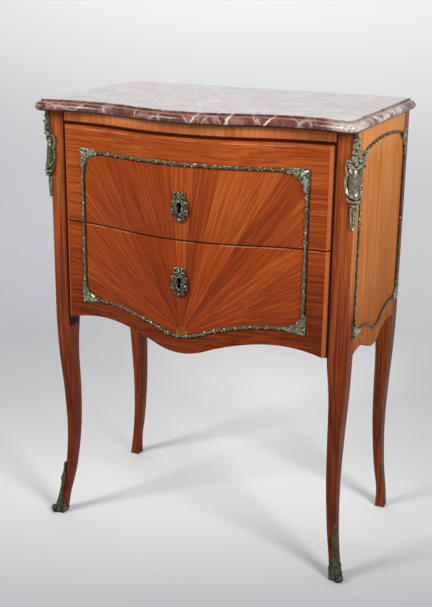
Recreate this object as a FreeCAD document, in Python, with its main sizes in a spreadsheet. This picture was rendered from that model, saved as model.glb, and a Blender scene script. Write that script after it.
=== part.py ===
import FreeCAD, Part
import math
import operator
import os
import types

import Sketcher
from FreeCAD import Placement, Rotation, Vector

# A small French commode with two drawers and a marble top.
# Millimetres, +Z up, -Y is the front, origin on the floor under the middle of the marble.

doc = FreeCAD.newDocument("commode")

sizes = {
    # marble slab: a softened nose under a thin raised lip
    "overall_height": 800,
    "marble_width": 578,
    "marble_depth": 374,
    "marble_thickness": 20,
    "marble_lip_height": 4,
    "marble_lip_inset": 9,
    "marble_lip_bevel": 1.5,
    "marble_nose_bevel": 5,
    "marble_corner_radius": 16,
    "marble_bow": 37,
    "marble_valley_spread": 197,
    "marble_front_overhang": 15,
    "marble_side_overhang": 8,
    "marble_back_overhang": 5,
    # cabriole legs
    "leg_size": 34,
    "leg_arris_radius": 9,
    "leg_back_arris_radius": 4,
    "leg_knee_rise": 15,
    "leg_waist_inset": 10.5,
    "leg_back_waist_inset": 9,
    "leg_ankle_size": 15,
    "foot_kick": 9,
    "foot_back_kick": 4,
    # carcass boards and rails
    "side_thickness": 14,
    "side_apron_drop": 4,
    "side_apron_rise": 24,
    "side_crest_spread": 88,
    "side_lobe_radius": 70,
    "back_thickness": 8,
    "back_inset": 2,
    "frieze_height": 20,
    "middle_rail_height": 20,
    "bottom_rail_height": 18,
    "runner_width": 40,
    "guide_height": 15,
    "dust_board_thickness": 6,
    "bottom_board_thickness": 8,
    "bottom_board_lift": 2,
    # drawer fronts
    "front_bow": 40,
    "front_thickness": 20,
    "front_proud": 7,
    "front_bevel": 7,
    "front_gap": 1.2,
    "front_end_gap": 0.8,
    "stop_gap": 0.4,
    "upper_front_height": 173,
    "lower_drawer_space": 121,
    "lower_front_height": 197,
    "apron_rise": 30,
    "apron_crest_spread": 155,
    "apron_lobe_radius": 123,
    # drawer boxes
    "running_gap": 0.3,
    "drawer_side_thickness": 10,
    "drawer_back_thickness": 9,
    "drawer_back_gap": 6,
    "drawer_bottom_thickness": 7,
    "drawer_bottom_rise": 5,
    "groove_depth": 4,
    "upper_side_height": 150,
    "lower_side_height": 112,
    "dovetail_length": 9,
    "dovetail_pin_width": 12,
    "dovetail_flare": 2,
    # locks, keyholes and escutcheons
    "upper_keyhole_rise": 60,
    "lower_keyhole_drop": 68,
    "keyhole_radius": 4,
    "keyhole_slot_width": 4.4,
    "keyhole_drop": 16,
    "lock_width": 62,
    "lock_height": 58,
    "lock_depth": 14,
    "lock_recess": 6,
    "bolt_width": 14,
    "bolt_thickness": 4,
    "bolt_standoff": 3,
    "bolt_drop": 2,
    "bolt_throw": 8,
    "bolt_tail": 20,
    "guide_staple_width": 30,
    "guide_staple_height": 10,
    "guide_staple_drop": 12,
    "escutcheon_width": 34,
    "escutcheon_height": 50,
    "escutcheon_thickness": 3,
    # gilt bronze mounts
    "moulding_width": 8,
    "moulding_thickness": 3.5,
    "spandrel_size": 30,
    "frame_end_margin": 41,
    "frame_top_drop": 44,
    "frame_apron_rise": 31,
    "side_frame_overlap": 6.5,
    "side_frame_top_drop": 38,
    "side_frame_arch": 14,
    "side_frame_apron_rise": 34,
    "side_spandrel_size": 22,
    "chute_height": 156,
    "chute_frame_gap": 1.5,
    "chute_relief": 8,
    "sabot_height": 110,
    "sabot_wrap": 17,
    "sabot_wall": 2.2,
    "toe_radius": 7,
    "toe_width": 13,
}

sheet = doc.addObject("Spreadsheet::Sheet", "Sizes")
for row, (name, number) in enumerate(sizes.items(), 1):
    sheet.set(f"A{row}", name)
    sheet.set(f"B{row}", str(number))
    sheet.setAlias(f"B{row}", name)
doc.recompute()

# how near two places count as one
touch = 0.01

signs = {"+": operator.add, "-": operator.sub, "*": operator.mul, "/": operator.truediv}


class Dim:
    # a length that carries its number and the formula that ties it to the sheet

    def __init__(self, number, formula):
        self.number = number
        self.formula = formula

    def __add__(self, other):
        return joined(self, "+", other)

    def __radd__(self, other):
        return joined(other, "+", self)

    def __sub__(self, other):
        return joined(self, "-", other)

    def __rsub__(self, other):
        return joined(other, "-", self)

    def __mul__(self, other):
        return joined(self, "*", other)

    def __rmul__(self, other):
        return joined(other, "*", self)

    def __truediv__(self, other):
        return joined(self, "/", other)

    def __neg__(self):
        return joined(0, "-", self)


def dim(value):
    if isinstance(value, Dim):
        return value
    return Dim(float(value), f"{float(value):.6f}")


def joined(left, sign, right):
    left = dim(left)
    right = dim(right)
    number = signs[sign](left.number, right.number)
    return Dim(number, f"({left.formula} {sign} {right.formula})")


def root(value):
    return Dim(math.sqrt(value.number), f"sqrt({value.formula})")


s = types.SimpleNamespace()
for name in sizes:
    setattr(s, name, Dim(float(sheet.get(name)), f"Sizes.{name}"))

# places that several pieces share
marble_front = -s.marble_depth / 2
marble_back = s.marble_depth / 2
marble_bottom = s.overall_height - s.marble_thickness
side_face = s.marble_width / 2 - s.marble_side_overhang
side_inner = side_face - s.side_thickness
leg_inner = side_face - s.leg_size
front_face = marble_front + s.marble_front_overhang
leg_front = front_face + s.front_bow + s.front_proud
front_leg_back = leg_front + s.leg_size
leg_back = marble_back - s.marble_back_overhang
back_leg_front = leg_back - s.leg_size
side_middle = (front_leg_back + back_leg_front) / 2
side_half_length = (back_leg_front - front_leg_back) / 2
back_panel_back = leg_back - s.back_inset
back_panel_front = back_panel_back - s.back_thickness

frieze_bottom = marble_bottom - s.frieze_height
upper_front_top = frieze_bottom - s.front_gap
front_joint = frieze_bottom - s.upper_front_height
upper_front_bottom = front_joint + s.front_gap / 2
lower_front_top = front_joint - s.front_gap / 2
middle_rail_top = front_joint + s.middle_rail_height / 2
middle_rail_bottom = front_joint - s.middle_rail_height / 2
bottom_rail_top = middle_rail_bottom - s.lower_drawer_space
bottom_rail_bottom = bottom_rail_top - s.bottom_rail_height

# the body hangs down from the marble, and the legs take up what is left
apron_height = front_joint - s.lower_front_height
side_apron_height = apron_height - s.side_apron_drop
leg_knee_height = apron_height + s.leg_knee_rise
upper_keyhole_height = front_joint + s.upper_keyhole_rise
lower_keyhole_height = front_joint - s.lower_keyhole_drop
side_frame_height = marble_bottom - s.side_frame_top_drop

drawer_half = leg_inner - s.front_end_gap
drawer_inner = drawer_half - s.drawer_side_thickness
drawer_back = back_leg_front - s.drawer_back_gap

parts = []


# keeps an object as a sub-part under its own name
def keep(piece, label):
    piece.Label = label
    parts.append(piece)
    return piece


def tie(piece, prop, value):
    piece.setExpression(prop, dim(value).formula)


# Bodies, sketches and features

def body_named(label):
    body = doc.addObject("PartDesign::Body", label)
    body.Label = label
    return body


def sketch_on(body, role, name, offset=0):
    sketch = body.newObject("Sketcher::SketchObject", name)
    plane = [feature for feature in body.Origin.OriginFeatures if feature.Role == role][0]
    sketch.AttachmentSupport = [(plane, "")]
    sketch.MapMode = "FlatFace"
    sketch.AttachmentOffset = Placement(Vector(0, 0, dim(offset).number), Rotation())
    tie(sketch, "AttachmentOffset.Base.z", offset)
    return sketch


def arc_centre(start, end, radius, turn):
    chord = end - start
    left = Vector(-chord.y, chord.x, 0) / chord.Length
    return (start + end) / 2 + left * turn * math.sqrt(radius ** 2 - chord.Length ** 2 / 4)


def heading(point, centre):
    return math.atan2(point.y - centre.y, point.x - centre.x)


def edge_between(start, end, bend):
    if bend is None:
        return Part.LineSegment(start, end), 1, 2
    radius, turn = bend
    centre = arc_centre(start, end, radius.number, turn)
    circle = Part.Circle(centre, Vector(0, 0, 1), radius.number)
    if turn > 0:
        return Part.ArcOfCircle(circle, heading(start, centre), heading(end, centre)), 1, 2
    return Part.ArcOfCircle(circle, heading(end, centre), heading(start, centre)), 2, 1


def hold(sketch, constraint, label, value):
    index = sketch.addConstraint(constraint)
    sketch.renameConstraint(index, label)
    sketch.setExpression(f"Constraints.{label}", value.formula)


# Draws a closed outline. A corner is (x, y, bend): bend is None for a straight edge to the
# next corner, or (radius, turn) for an arc, where turn is 1 to the left and -1 to the right.
def outline(sketch, corners):
    first = sketch.GeometryCount
    count = len(corners)
    points = [Vector(dim(x).number, dim(y).number, 0) for x, y, bend in corners]
    ends = []
    for index, (x, y, bend) in enumerate(corners):
        edge, start, end = edge_between(points[index], points[(index + 1) % count], bend)
        sketch.addGeometry(edge, False)
        ends.append((start, end))
    for index in range(count):
        after = (index + 1) % count
        meet = (first + index, ends[index][1], first + after, ends[after][0])
        sketch.addConstraint(Sketcher.Constraint("Coincident", *meet))
    for index, (x, y, bend) in enumerate(corners):
        edge = first + index
        point = (-1, 1, edge, ends[index][0])
        hold(sketch, Sketcher.Constraint("DistanceX", *point, dim(x).number), f"x{edge}", dim(x))
        hold(sketch, Sketcher.Constraint("DistanceY", *point, dim(y).number), f"y{edge}", dim(y))
        if bend is not None:
            radius = bend[0]
            hold(sketch, Sketcher.Constraint("Radius", edge, radius.number), f"r{edge}", radius)


def pad(body, sketch, length):
    feature = body.newObject("PartDesign::Pad", "Pad")
    feature.Profile = sketch
    tie(feature, "Length", length)
    doc.recompute()
    return feature


# cuts straight through everything in front of the middle plane
def pocket_forward(body, sketch):
    before = body.Shape.Volume
    feature = body.newObject("PartDesign::Pocket", "Pocket")
    feature.Profile = sketch
    feature.Type = "ThroughAll"
    feature.Reversed = True
    doc.recompute()
    if body.Shape.Volume >= before:
        raise RuntimeError(f"{body.Label}: a pocket removed nothing")
    return feature


# cuts through a plate that lies between its sketch and the length given
def pocket_through(body, sketch, length):
    before = body.Shape.Volume
    feature = body.newObject("PartDesign::Pocket", "Pocket")
    feature.Profile = sketch
    feature.Reversed = True
    tie(feature, "Length", length)
    doc.recompute()
    if body.Shape.Volume >= before:
        raise RuntimeError(f"{body.Label}: a pocket removed nothing")
    return feature


def loft(body, sketches, straight=False):
    feature = body.newObject("PartDesign::AdditiveLoft", "Loft")
    feature.Profile = sketches[0]
    feature.Sections = sketches[1:]
    feature.Ruled = straight
    doc.recompute()
    return feature


def edges_where(shape, wanted):
    return [f"Edge{number}" for number, edge in enumerate(shape.Edges, 1) if wanted(edge)]


def bevelled(body, wanted, size):
    tip = body.Tip
    feature = body.newObject("PartDesign::Chamfer", "Bevel")
    feature.Base = (tip, edges_where(tip.Shape, wanted))
    tie(feature, "Size", size)
    doc.recompute()
    return feature


def box(label, low, high):
    block = doc.addObject("Part::Box", label)
    for axis, side, start, end in zip("xyz", ("Length", "Width", "Height"), low, high):
        tie(block, side, dim(end) - start)
        tie(block, f"Placement.Base.{axis}", start)
    return block


def cut(label, base, tools):
    result = base
    for tool in tools:
        step = doc.addObject("Part::Cut", f"{label}_less_{tool.Name}")
        step.Base = result
        step.Tool = tool
        result = step
    doc.recompute()
    return result


def common(label, first, second):
    shared = doc.addObject("Part::Common", label)
    shared.Base = first
    shared.Tool = second
    doc.recompute()
    return shared


def mirrored(label, source):
    twin = doc.addObject("Part::Mirroring", label)
    twin.Source = source
    twin.Normal = Vector(1, 0, 0)
    return keep(twin, label)


# Curves: a bow in the middle, meeting a hollow valley on each side, both of one radius

def bow_radius(spread, depth):
    return (spread * spread + depth * depth) / (4 * depth)


# The run of a serpentine front from left to right, set back from its face by a parallel offset.
def front_run(face, spread, depth, setback, limit):
    radius = bow_radius(spread, depth)
    hollow = radius + setback
    bow = radius - setback
    turn_x = bow * spread / (2 * radius)
    turn_y = face + radius - bow * (2 * radius - depth) / (2 * radius)
    reach = limit - spread
    end_y = face + depth - radius + root(hollow * hollow - reach * reach)
    return [
        (-limit, end_y, (hollow, -1)),
        (-turn_x, turn_y, (bow, 1)),
        (turn_x, turn_y, (hollow, -1)),
        (limit, end_y, None),
    ]


# An apron's lower edge from low to high: crest, lobe, crest, raised by a parallel offset.
def apron_run(middle, lobe_height, rise, spread, lobe_radius, lift, limit):
    reach = (spread * spread + rise * rise) / (2 * rise)
    crest = reach - lobe_radius + lift
    lobe = lobe_radius - lift
    turn_x = lobe * spread / reach
    turn_z = lobe_height + lobe_radius - lobe * (reach - rise) / reach
    past = limit - spread
    end_z = lobe_height + rise - reach + lobe_radius + root(crest * crest - past * past)
    return [
        (middle - limit, end_z, (crest, -1)),
        (middle - turn_x, turn_z, (lobe, 1)),
        (middle + turn_x, turn_z, (crest, -1)),
        (middle + limit, end_z, None),
    ]


def backwards(run):
    bends = [None if bend is None else (bend[0], -bend[1]) for x, y, bend in run]
    after = [bends[index - 1] for index in range(len(run) - 1, 0, -1)]
    corners = [(x, y) for x, y, bend in reversed(run)]
    return [(x, y, bend) for (x, y), bend in zip(corners, after + [None])]


def drawer_run(setback, limit):
    return front_run(front_face, leg_inner, s.front_bow, dim(setback), limit)


def front_apron(lift, limit):
    curve = (dim(0), apron_height, s.apron_rise, s.apron_crest_spread, s.apron_lobe_radius)
    return apron_run(*curve, dim(lift), limit)


def side_apron(lift, limit):
    curve = (side_apron_height, s.side_apron_rise, s.side_crest_spread, s.side_lobe_radius)
    return apron_run(side_middle, *curve, dim(lift), limit)


# Marble top

# the corner's round touches the last hollow of the front and the straight side
def slab_outline(sketch, inset):
    half = s.marble_width / 2
    spread = s.marble_valley_spread
    radius = bow_radius(spread, s.marble_bow)
    span = radius + s.marble_corner_radius
    reach = half - s.marble_corner_radius - spread
    shoulder = marble_front + s.marble_bow - radius + root(span * span - reach * reach)
    limit = spread + reach * (radius + inset) / span
    corner = (s.marble_corner_radius - inset, 1)
    edge = half - inset
    run = front_run(marble_front, spread, s.marble_bow, inset, limit)
    corners = [(-edge, shoulder, corner)] + run[:-1]
    corners += [(limit, run[-1][1], corner), (edge, shoulder, None)]
    corners += [(edge, marble_back, None), (-edge, marble_back, None)]
    outline(sketch, corners)


def on_nose(edge):
    flat = edge.BoundBox.ZLength < touch
    return flat and edge.BoundBox.YMin < marble_back.number - touch


def build_marble():
    body = body_named("marble_top")
    nose_height = s.marble_thickness - s.marble_lip_height
    lip_bottom = marble_bottom + nose_height
    nose = sketch_on(body, "XY_Plane", "nose_plan", marble_bottom)
    slab_outline(nose, dim(0))
    pad(body, nose, nose_height)
    bevelled(body, on_nose, s.marble_nose_bevel)
    lip = sketch_on(body, "XY_Plane", "lip_plan", lip_bottom)
    slab_outline(lip, s.marble_lip_inset)
    pad(body, lip, s.marble_lip_height)

    def on_lip(edge):
        high = edge.BoundBox.ZMin > s.overall_height.number - touch
        return high and on_nose(edge)

    bevelled(body, on_lip, s.marble_lip_bevel)
    keep(body, "marble_top")


# Legs: a square post above the knee, then a cabriole that thins to the ankle

# height as a share of the knee, inset as a share of the waist's, width and depth between
# ankle and post: the leg is deeper than it is wide
cabriole = [
    (1.00, 0.00, 1.00, 1.00),
    (0.82, 0.24, 0.60, 0.96),
    (0.62, 0.76, 0.34, 0.82),
    (0.42, 1.00, 0.16, 0.58),
    (0.22, 0.62, 0.03, 0.32),
]
ankle_depth = 0.14
foot_flare = 0.09
ankle_share = 0.09
kick_share = 0.16


# a rectangle whose outer corner is softened by three flats
def post_section(sketch, outer, face, width, depth, radius, inward):
    corners = [(outer - width, face, None)]
    for turn in (0, 30, 60, 90):
        along = math.sin(math.radians(turn))
        back = 1 - math.cos(math.radians(turn))
        corners.append((outer - radius * (1 - along), face + inward * radius * back, None))
    corners.append((outer, face + inward * depth, None))
    corners.append((outer - width, face + inward * depth, None))
    outline(sketch, corners)


# every station down the leg: height, inset of the outer faces, width, depth
def leg_stations(waist_inset, kick):
    ankle = s.leg_ankle_size
    growth = s.leg_size - ankle
    deep = ankle + ankle_depth * growth
    flare = foot_flare * s.leg_size
    rows = [
        (share * leg_knee_height, inset * waist_inset, ankle + width * growth, ankle + depth * growth)
        for share, inset, width, depth in cabriole
    ]
    rows.append((ankle_share * leg_knee_height, -kick_share * kick, ankle, deep))
    rows.append((dim(0), -kick, ankle + flare, deep + flare))
    return rows


def build_leg(label, face, inward, waist_inset, kick, arris, follows):
    body = body_named(label)
    post = sketch_on(body, "XY_Plane", "post_section", leg_knee_height)
    post_section(post, side_face, face, s.leg_size, s.leg_size, arris, inward)
    pad(body, post, marble_bottom - leg_knee_height)
    sections = []
    for height, inset, width, depth in leg_stations(waist_inset, kick):
        sketch = sketch_on(body, "XY_Plane", "cabriole_section", height)
        radius = arris * width / s.leg_size
        post_section(sketch, side_face - inset, face + follows * inset, width, depth, radius, inward)
        sections.append(sketch)
    loft(body, sections)
    return keep(body, label)


def build_legs():
    front = (leg_front, 1, s.leg_waist_inset, s.foot_kick, s.leg_arris_radius, 1)
    back = (leg_back, -1, s.leg_back_waist_inset, s.foot_back_kick, s.leg_back_arris_radius, 0)
    front_right = build_leg("leg_front_right", *front)
    back_right = build_leg("leg_back_right", *back)
    mirrored("leg_front_left", front_right)
    mirrored("leg_back_left", back_right)
    return front_right


# Carcass boards

def build_sides():
    body = body_named("side_panel_right")
    sketch = sketch_on(body, "YZ_Plane", "side_outline", side_inner)
    run = side_apron(0, side_half_length)
    top = [(back_leg_front, marble_bottom, None), (front_leg_back, marble_bottom, None)]
    outline(sketch, run + top)
    pad(body, sketch, s.side_thickness)
    keep(body, "side_panel_right")
    mirrored("side_panel_left", body)


def shaped_rail(label, setback, bottom, height):
    body = body_named(label)
    sketch = sketch_on(body, "XY_Plane", "rail_plan", bottom)
    back = [(leg_inner, front_leg_back, None), (-leg_inner, front_leg_back, None)]
    outline(sketch, drawer_run(setback, leg_inner) + back)
    pad(body, sketch, height)
    return body


# where a bolt stands behind the front, and the mortise that takes it in the rail above
bolt_front = front_face + s.front_thickness + s.bolt_standoff
bolt_back = bolt_front + s.bolt_thickness
bolt_half = s.bolt_width / 2


def mortise(label, bottom):
    depth = s.bolt_throw + s.running_gap
    low = (-bolt_half - s.running_gap, bolt_front - s.running_gap, bottom)
    high = (bolt_half + s.running_gap, bolt_back + s.running_gap, bottom + depth)
    return box(label, low, high)


def build_rails():
    behind_front = s.front_thickness + s.stop_gap
    frieze = shaped_rail("frieze_blank", s.front_proud, frieze_bottom, s.frieze_height)
    middle = shaped_rail("middle_blank", behind_front, middle_rail_bottom, s.middle_rail_height)
    bottom = shaped_rail("bottom_rail", behind_front, bottom_rail_bottom, s.bottom_rail_height)
    frieze_mortise = mortise("frieze_mortise", frieze_bottom)
    middle_mortise = mortise("middle_mortise", middle_rail_bottom)
    keep(cut("frieze", frieze, [frieze_mortise]), "front_top_rail")
    keep(cut("middle", middle, [middle_mortise]), "middle_rail")
    keep(bottom, "bottom_rail")


def build_boards():
    inner = side_inner - s.runner_width
    front = front_leg_back
    rear = back_leg_front
    bottom = bottom_rail_bottom
    board = bottom + s.bottom_board_lift
    dust = front_joint - s.dust_board_thickness / 2
    dust_top = dust + s.dust_board_thickness
    fixed = {
        "back_panel": ((-leg_inner, back_panel_front, bottom), (leg_inner, back_panel_back, marble_bottom)),
        "back_top_rail": ((-leg_inner, rear, frieze_bottom), (leg_inner, back_panel_front, marble_bottom)),
        "back_bottom_rail": ((-leg_inner, rear, bottom), (leg_inner, back_panel_front, bottom_rail_top)),
        "dust_board": ((-inner, front, dust), (inner, back_panel_front, dust_top)),
        "bottom_board": ((-inner, front, board), (inner, rear, board + s.bottom_board_thickness)),
    }
    for label, (low, high) in fixed.items():
        keep(box(label, low, high), label)
    guide_tops = {"upper": middle_rail_top + s.guide_height, "lower": bottom_rail_top + s.guide_height}
    paired = {
        "side_top_rail": ((inner, front, frieze_bottom), (side_inner, rear, marble_bottom)),
        "upper_runner": ((inner, front, middle_rail_bottom), (side_inner, rear, middle_rail_top)),
        "lower_runner": ((inner, front, bottom), (side_inner, rear, bottom_rail_top)),
        "upper_guide": ((leg_inner, front, middle_rail_top), (side_inner, rear, guide_tops["upper"])),
        "lower_guide": ((leg_inner, front, bottom_rail_top), (side_inner, rear, guide_tops["lower"])),
    }
    for label, (low, high) in paired.items():
        right = keep(box(f"{label}_right", low, high), f"{label}_right")
        mirrored(f"{label}_left", right)


# Drawers

def keyhole_outline(sketch, height):
    half = s.keyhole_slot_width / 2
    neck = height - root(s.keyhole_radius * s.keyhole_radius - half * half)
    foot = height - s.keyhole_drop
    corners = [
        (half, neck, None),
        (half, foot, None),
        (-half, foot, None),
        (-half, neck, (s.keyhole_radius, -1)),
        (dim(0), height + s.keyhole_radius, (s.keyhole_radius, -1)),
    ]
    outline(sketch, corners)


def faces_front(shape, edge):
    for face in shape.ancestorsOfType(edge, Part.Face):
        u_low, u_high, v_low, v_high = face.ParameterRange
        normal = face.normalAt((u_low + u_high) / 2, (v_low + v_high) / 2)
        if normal.y < -0.5:
            return True
    return False


def front_blank(label, bottom, top, keyhole_height, bevel_top):
    body = body_named(label)
    plan = sketch_on(body, "XY_Plane", "front_plan", bottom)
    face = drawer_run(0, drawer_half)
    inside = drawer_run(s.front_thickness, drawer_half)
    outline(plan, face + backwards(inside))
    pad(body, plan, top - bottom)
    shape = body.Tip.Shape

    def on_bevel(edge):
        bounds = edge.BoundBox
        upright = bounds.ZLength > touch and abs(bounds.Center.x) > drawer_half.number - touch
        level = bounds.ZMin > top.number - touch
        return faces_front(shape, edge) and (upright or (bevel_top and level))

    bevelled(body, on_bevel, s.front_bevel)
    keyhole = sketch_on(body, "XZ_Plane", "keyhole")
    keyhole_outline(keyhole, keyhole_height)
    pocket_forward(body, keyhole)
    return body


def cut_apron(body):
    sketch = sketch_on(body, "XZ_Plane", "apron")
    low = apron_height - s.apron_rise
    limit = drawer_half + s.front_end_gap
    outline(sketch, front_apron(0, limit) + [(limit, low, None), (-limit, low, None)])
    pocket_forward(body, sketch)


# tails at the front end of a side, with the gaps between them for the pins of the front
def build_drawer_side(label, bottom, height):
    body = body_named(label)
    front_end = front_face + s.front_bow + s.front_thickness
    tail_end = front_end - s.dovetail_length
    top = bottom + height
    board = sketch_on(body, "YZ_Plane", "side_board", drawer_inner)
    corners = [
        (tail_end, bottom, None),
        (drawer_back, bottom, None),
        (drawer_back, top, None),
        (tail_end, top, None),
    ]
    outline(board, corners)
    pad(body, board, s.drawer_side_thickness)
    pins = sketch_on(body, "YZ_Plane", "dovetail_pins", drawer_inner)
    pin_count = 3
    for index in range(1, pin_count + 1):
        middle = bottom + height * index / (pin_count + 1)
        narrow = s.dovetail_pin_width / 2 - s.dovetail_flare
        wide = s.dovetail_pin_width / 2
        gap = [
            (tail_end, middle - narrow, None),
            (front_end, middle - wide, None),
            (front_end, middle + wide, None),
            (tail_end, middle + narrow, None),
        ]
        outline(pins, gap)
    pocket_through(body, pins, s.drawer_side_thickness)
    return body


def build_drawer_bottom(label, bottom):
    body = body_named(label)
    sketch = sketch_on(body, "XY_Plane", "bottom_plan", bottom)
    limit = drawer_inner + s.groove_depth
    front = drawer_run(s.front_thickness - s.groove_depth, limit)
    outline(sketch, front + [(limit, drawer_back, None), (-limit, drawer_back, None)])
    pad(body, sketch, s.drawer_bottom_thickness)
    return keep(body, label)


# A lock case let into the back of the front, a tall flat bolt and the staple that guides it
def build_lock(name, keyhole_height, bolt_top):
    inside = front_face + s.front_thickness
    case_front = inside - s.lock_recess
    case_half = s.lock_width / 2
    case_bottom = keyhole_height - s.lock_height / 2
    case_top = case_bottom + s.lock_height
    tail = case_top - s.bolt_tail
    staple_half = s.guide_staple_width / 2
    staple_top = bolt_top - s.guide_staple_drop
    staple_bottom = staple_top - s.guide_staple_height
    gap = s.running_gap
    case_back = case_front + s.lock_depth
    case = box(f"{name}_case_block", (-case_half, case_front, case_bottom), (case_half, case_back, case_top))
    staple_low = (-staple_half, inside, staple_bottom)
    staple_high = (staple_half, case_back, staple_top)
    staple = box(f"{name}_staple_block", staple_low, staple_high)
    slot_low = (-bolt_half - gap, bolt_front - gap, tail - gap)
    slot_high = (bolt_half + gap, bolt_back + gap, bolt_top)
    slot = box(f"{name}_bolt_slot", slot_low, slot_high)
    bolt = box(f"{name}_lock_bolt", (-bolt_half, bolt_front, tail), (bolt_half, bolt_back, bolt_top))
    keep(bolt, f"{name}_lock_bolt")
    keep(cut(f"{name}_case", case, [slot]), f"{name}_lock_case")
    keep(cut(f"{name}_staple", staple, [slot]), f"{name}_bolt_staple")
    return case, staple


# A shield-shaped plate with scrolled shoulders, a crown and a pointed drop, up its right side:
# share of the half width, share of the height, bend to the next point in half widths
shield_stations = [
    (0.00, 0.00, 1.6),
    (0.90, 0.24, 1.2),
    (0.68, 0.52, None),
    (1.00, 0.68, None),
    (0.80, 0.80, None),
    (0.42, 0.86, None),
    (0.00, 1.00, None),
]


def shield_corners(low):
    half = s.escutcheon_width / 2
    tall = s.escutcheon_height
    bends = [None if bend is None else (bend * half, 1) for wide, share, bend in shield_stations]
    places = [(wide * half, low + share * tall) for wide, share, bend in shield_stations]
    right = [(x, z, bend) for (x, z), bend in zip(places[:-1], bends)]
    left = [(-x, z, bend) for (x, z), bend in zip(places[:0:-1], bends[-2::-1])]
    return right + left


def build_escutcheon(name, keyhole_height, front):
    low = keyhole_height - s.keyhole_radius / 2 - s.escutcheon_height / 2
    blank = body_named(f"{name}_escutcheon_blank")
    sunk = s.escutcheon_thickness
    sketch = sketch_on(blank, "XZ_Plane", "shield", -front_face - sunk)
    outline(sketch, shield_corners(low))
    pad(blank, sketch, sunk + s.escutcheon_thickness)
    keyhole = sketch_on(blank, "XZ_Plane", "keyhole")
    keyhole_outline(keyhole, keyhole_height)
    pocket_forward(blank, keyhole)
    keep(cut(f"{name}_escutcheon", blank, [front]), f"{name}_escutcheon")


def build_drawer(name, front, bottom, side_height, keyhole_height, bolt_top):
    right = build_drawer_side(f"{name}_side_blank", bottom, side_height)
    left = doc.addObject("Part::Mirroring", f"{name}_side_blank_left")
    left.Source = right
    left.Normal = Vector(1, 0, 0)
    floor_low = bottom + s.drawer_bottom_rise
    floor_high = floor_low + s.drawer_bottom_thickness
    floor = build_drawer_bottom(f"{name}_drawer_bottom", floor_low)
    housed = drawer_inner + s.groove_depth
    back_low = (-housed, drawer_back - s.drawer_back_thickness, floor_high)
    back = box(f"{name}_drawer_back", back_low, (housed, drawer_back, bottom + side_height))
    keep(back, f"{name}_drawer_back")
    side = keep(cut(f"{name}_side", right, [floor, back]), f"{name}_drawer_side_right")
    mirrored(f"{name}_drawer_side_left", side)
    case, staple = build_lock(name, keyhole_height, bolt_top)
    build_escutcheon(name, keyhole_height, front)
    tools = [right, left, floor, case, staple]
    keep(cut(f"{name}_front", front, tools), f"{name}_drawer_front")


def build_drawers():
    upper_span = (upper_front_bottom, upper_front_top)
    lower_span = (apron_height, lower_front_top)
    upper = front_blank("upper_front_blank", *upper_span, upper_keyhole_height, True)
    lower = front_blank("lower_front_blank", *lower_span, lower_keyhole_height, False)
    cut_apron(lower)
    upper_bottom = middle_rail_top + s.running_gap
    lower_bottom = bottom_rail_top + s.running_gap
    upper_bolt = frieze_bottom - s.bolt_drop
    lower_bolt = middle_rail_bottom - s.bolt_drop
    build_drawer("upper", upper, upper_bottom, s.upper_side_height, upper_keyhole_height, upper_bolt)
    build_drawer("lower", lower, lower_bottom, s.lower_side_height, lower_keyhole_height, lower_bolt)


# Bronze mouldings that follow the curve of the fronts

half_moulding = s.moulding_width / 2
frame_half_width = leg_inner - s.frame_end_margin
frame_outer = frame_half_width + half_moulding
frame_inner = frame_half_width - half_moulding
side_frame_half_length = side_half_length + s.side_frame_overlap


def moulding_strip(label, bottom, top):
    body = body_named(label)
    sketch = sketch_on(body, "XY_Plane", "strip_plan", bottom)
    proud = drawer_run(-s.moulding_thickness, frame_outer)
    seat = drawer_run(0, frame_outer)
    outline(sketch, proud + backwards(seat))
    pad(body, sketch, top - bottom)
    return body


def build_upper_frame():
    line = upper_front_top - s.frame_top_drop
    body = moulding_strip("upper_frame", upper_front_bottom, line + half_moulding)
    sketch = sketch_on(body, "XZ_Plane", "field")
    top = line - half_moulding
    low = upper_front_bottom - s.moulding_width
    round_corner = (s.spandrel_size, -1)
    corners = [
        (-frame_inner, low, None),
        (-frame_inner, top - s.spandrel_size, round_corner),
        (-frame_inner + s.spandrel_size, top, None),
        (frame_inner - s.spandrel_size, top, round_corner),
        (frame_inner, top - s.spandrel_size, None),
        (frame_inner, low, None),
    ]
    outline(sketch, corners)
    pocket_forward(body, sketch)
    keep(body, "upper_frame")


def build_lower_frame():
    low = apron_height + s.frame_apron_rise - half_moulding
    body = moulding_strip("lower_frame", low, lower_front_top)
    below = sketch_on(body, "XZ_Plane", "under_frame")
    under = front_apron(s.frame_apron_rise - half_moulding, frame_outer + s.moulding_width)
    floor = low - s.moulding_width
    edge = frame_outer + s.moulding_width
    outline(below, under + [(edge, floor, None), (-edge, floor, None)])
    pocket_forward(body, below)
    field = sketch_on(body, "XZ_Plane", "field")
    run = front_apron(s.frame_apron_rise + half_moulding, frame_inner - s.spandrel_size)
    corner_run = front_apron(s.frame_apron_rise + half_moulding, frame_inner)
    corner_height = corner_run[0][1] + s.spandrel_size
    top = lower_front_top + s.moulding_width
    right_x, right_z, bend = run[-1]
    corners = [(-frame_inner, top, None), (-frame_inner, corner_height, (s.spandrel_size, 1))]
    corners += run[:-1]
    corners += [
        (right_x, right_z, (s.spandrel_size, 1)),
        (frame_inner, corner_height, None),
        (frame_inner, top, None),
    ]
    outline(field, corners)
    pocket_forward(body, field)
    keep(body, "lower_frame")


# the round of a spandrel under the arch is a little wider than at a square corner
arch_ease = 1.1


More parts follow.
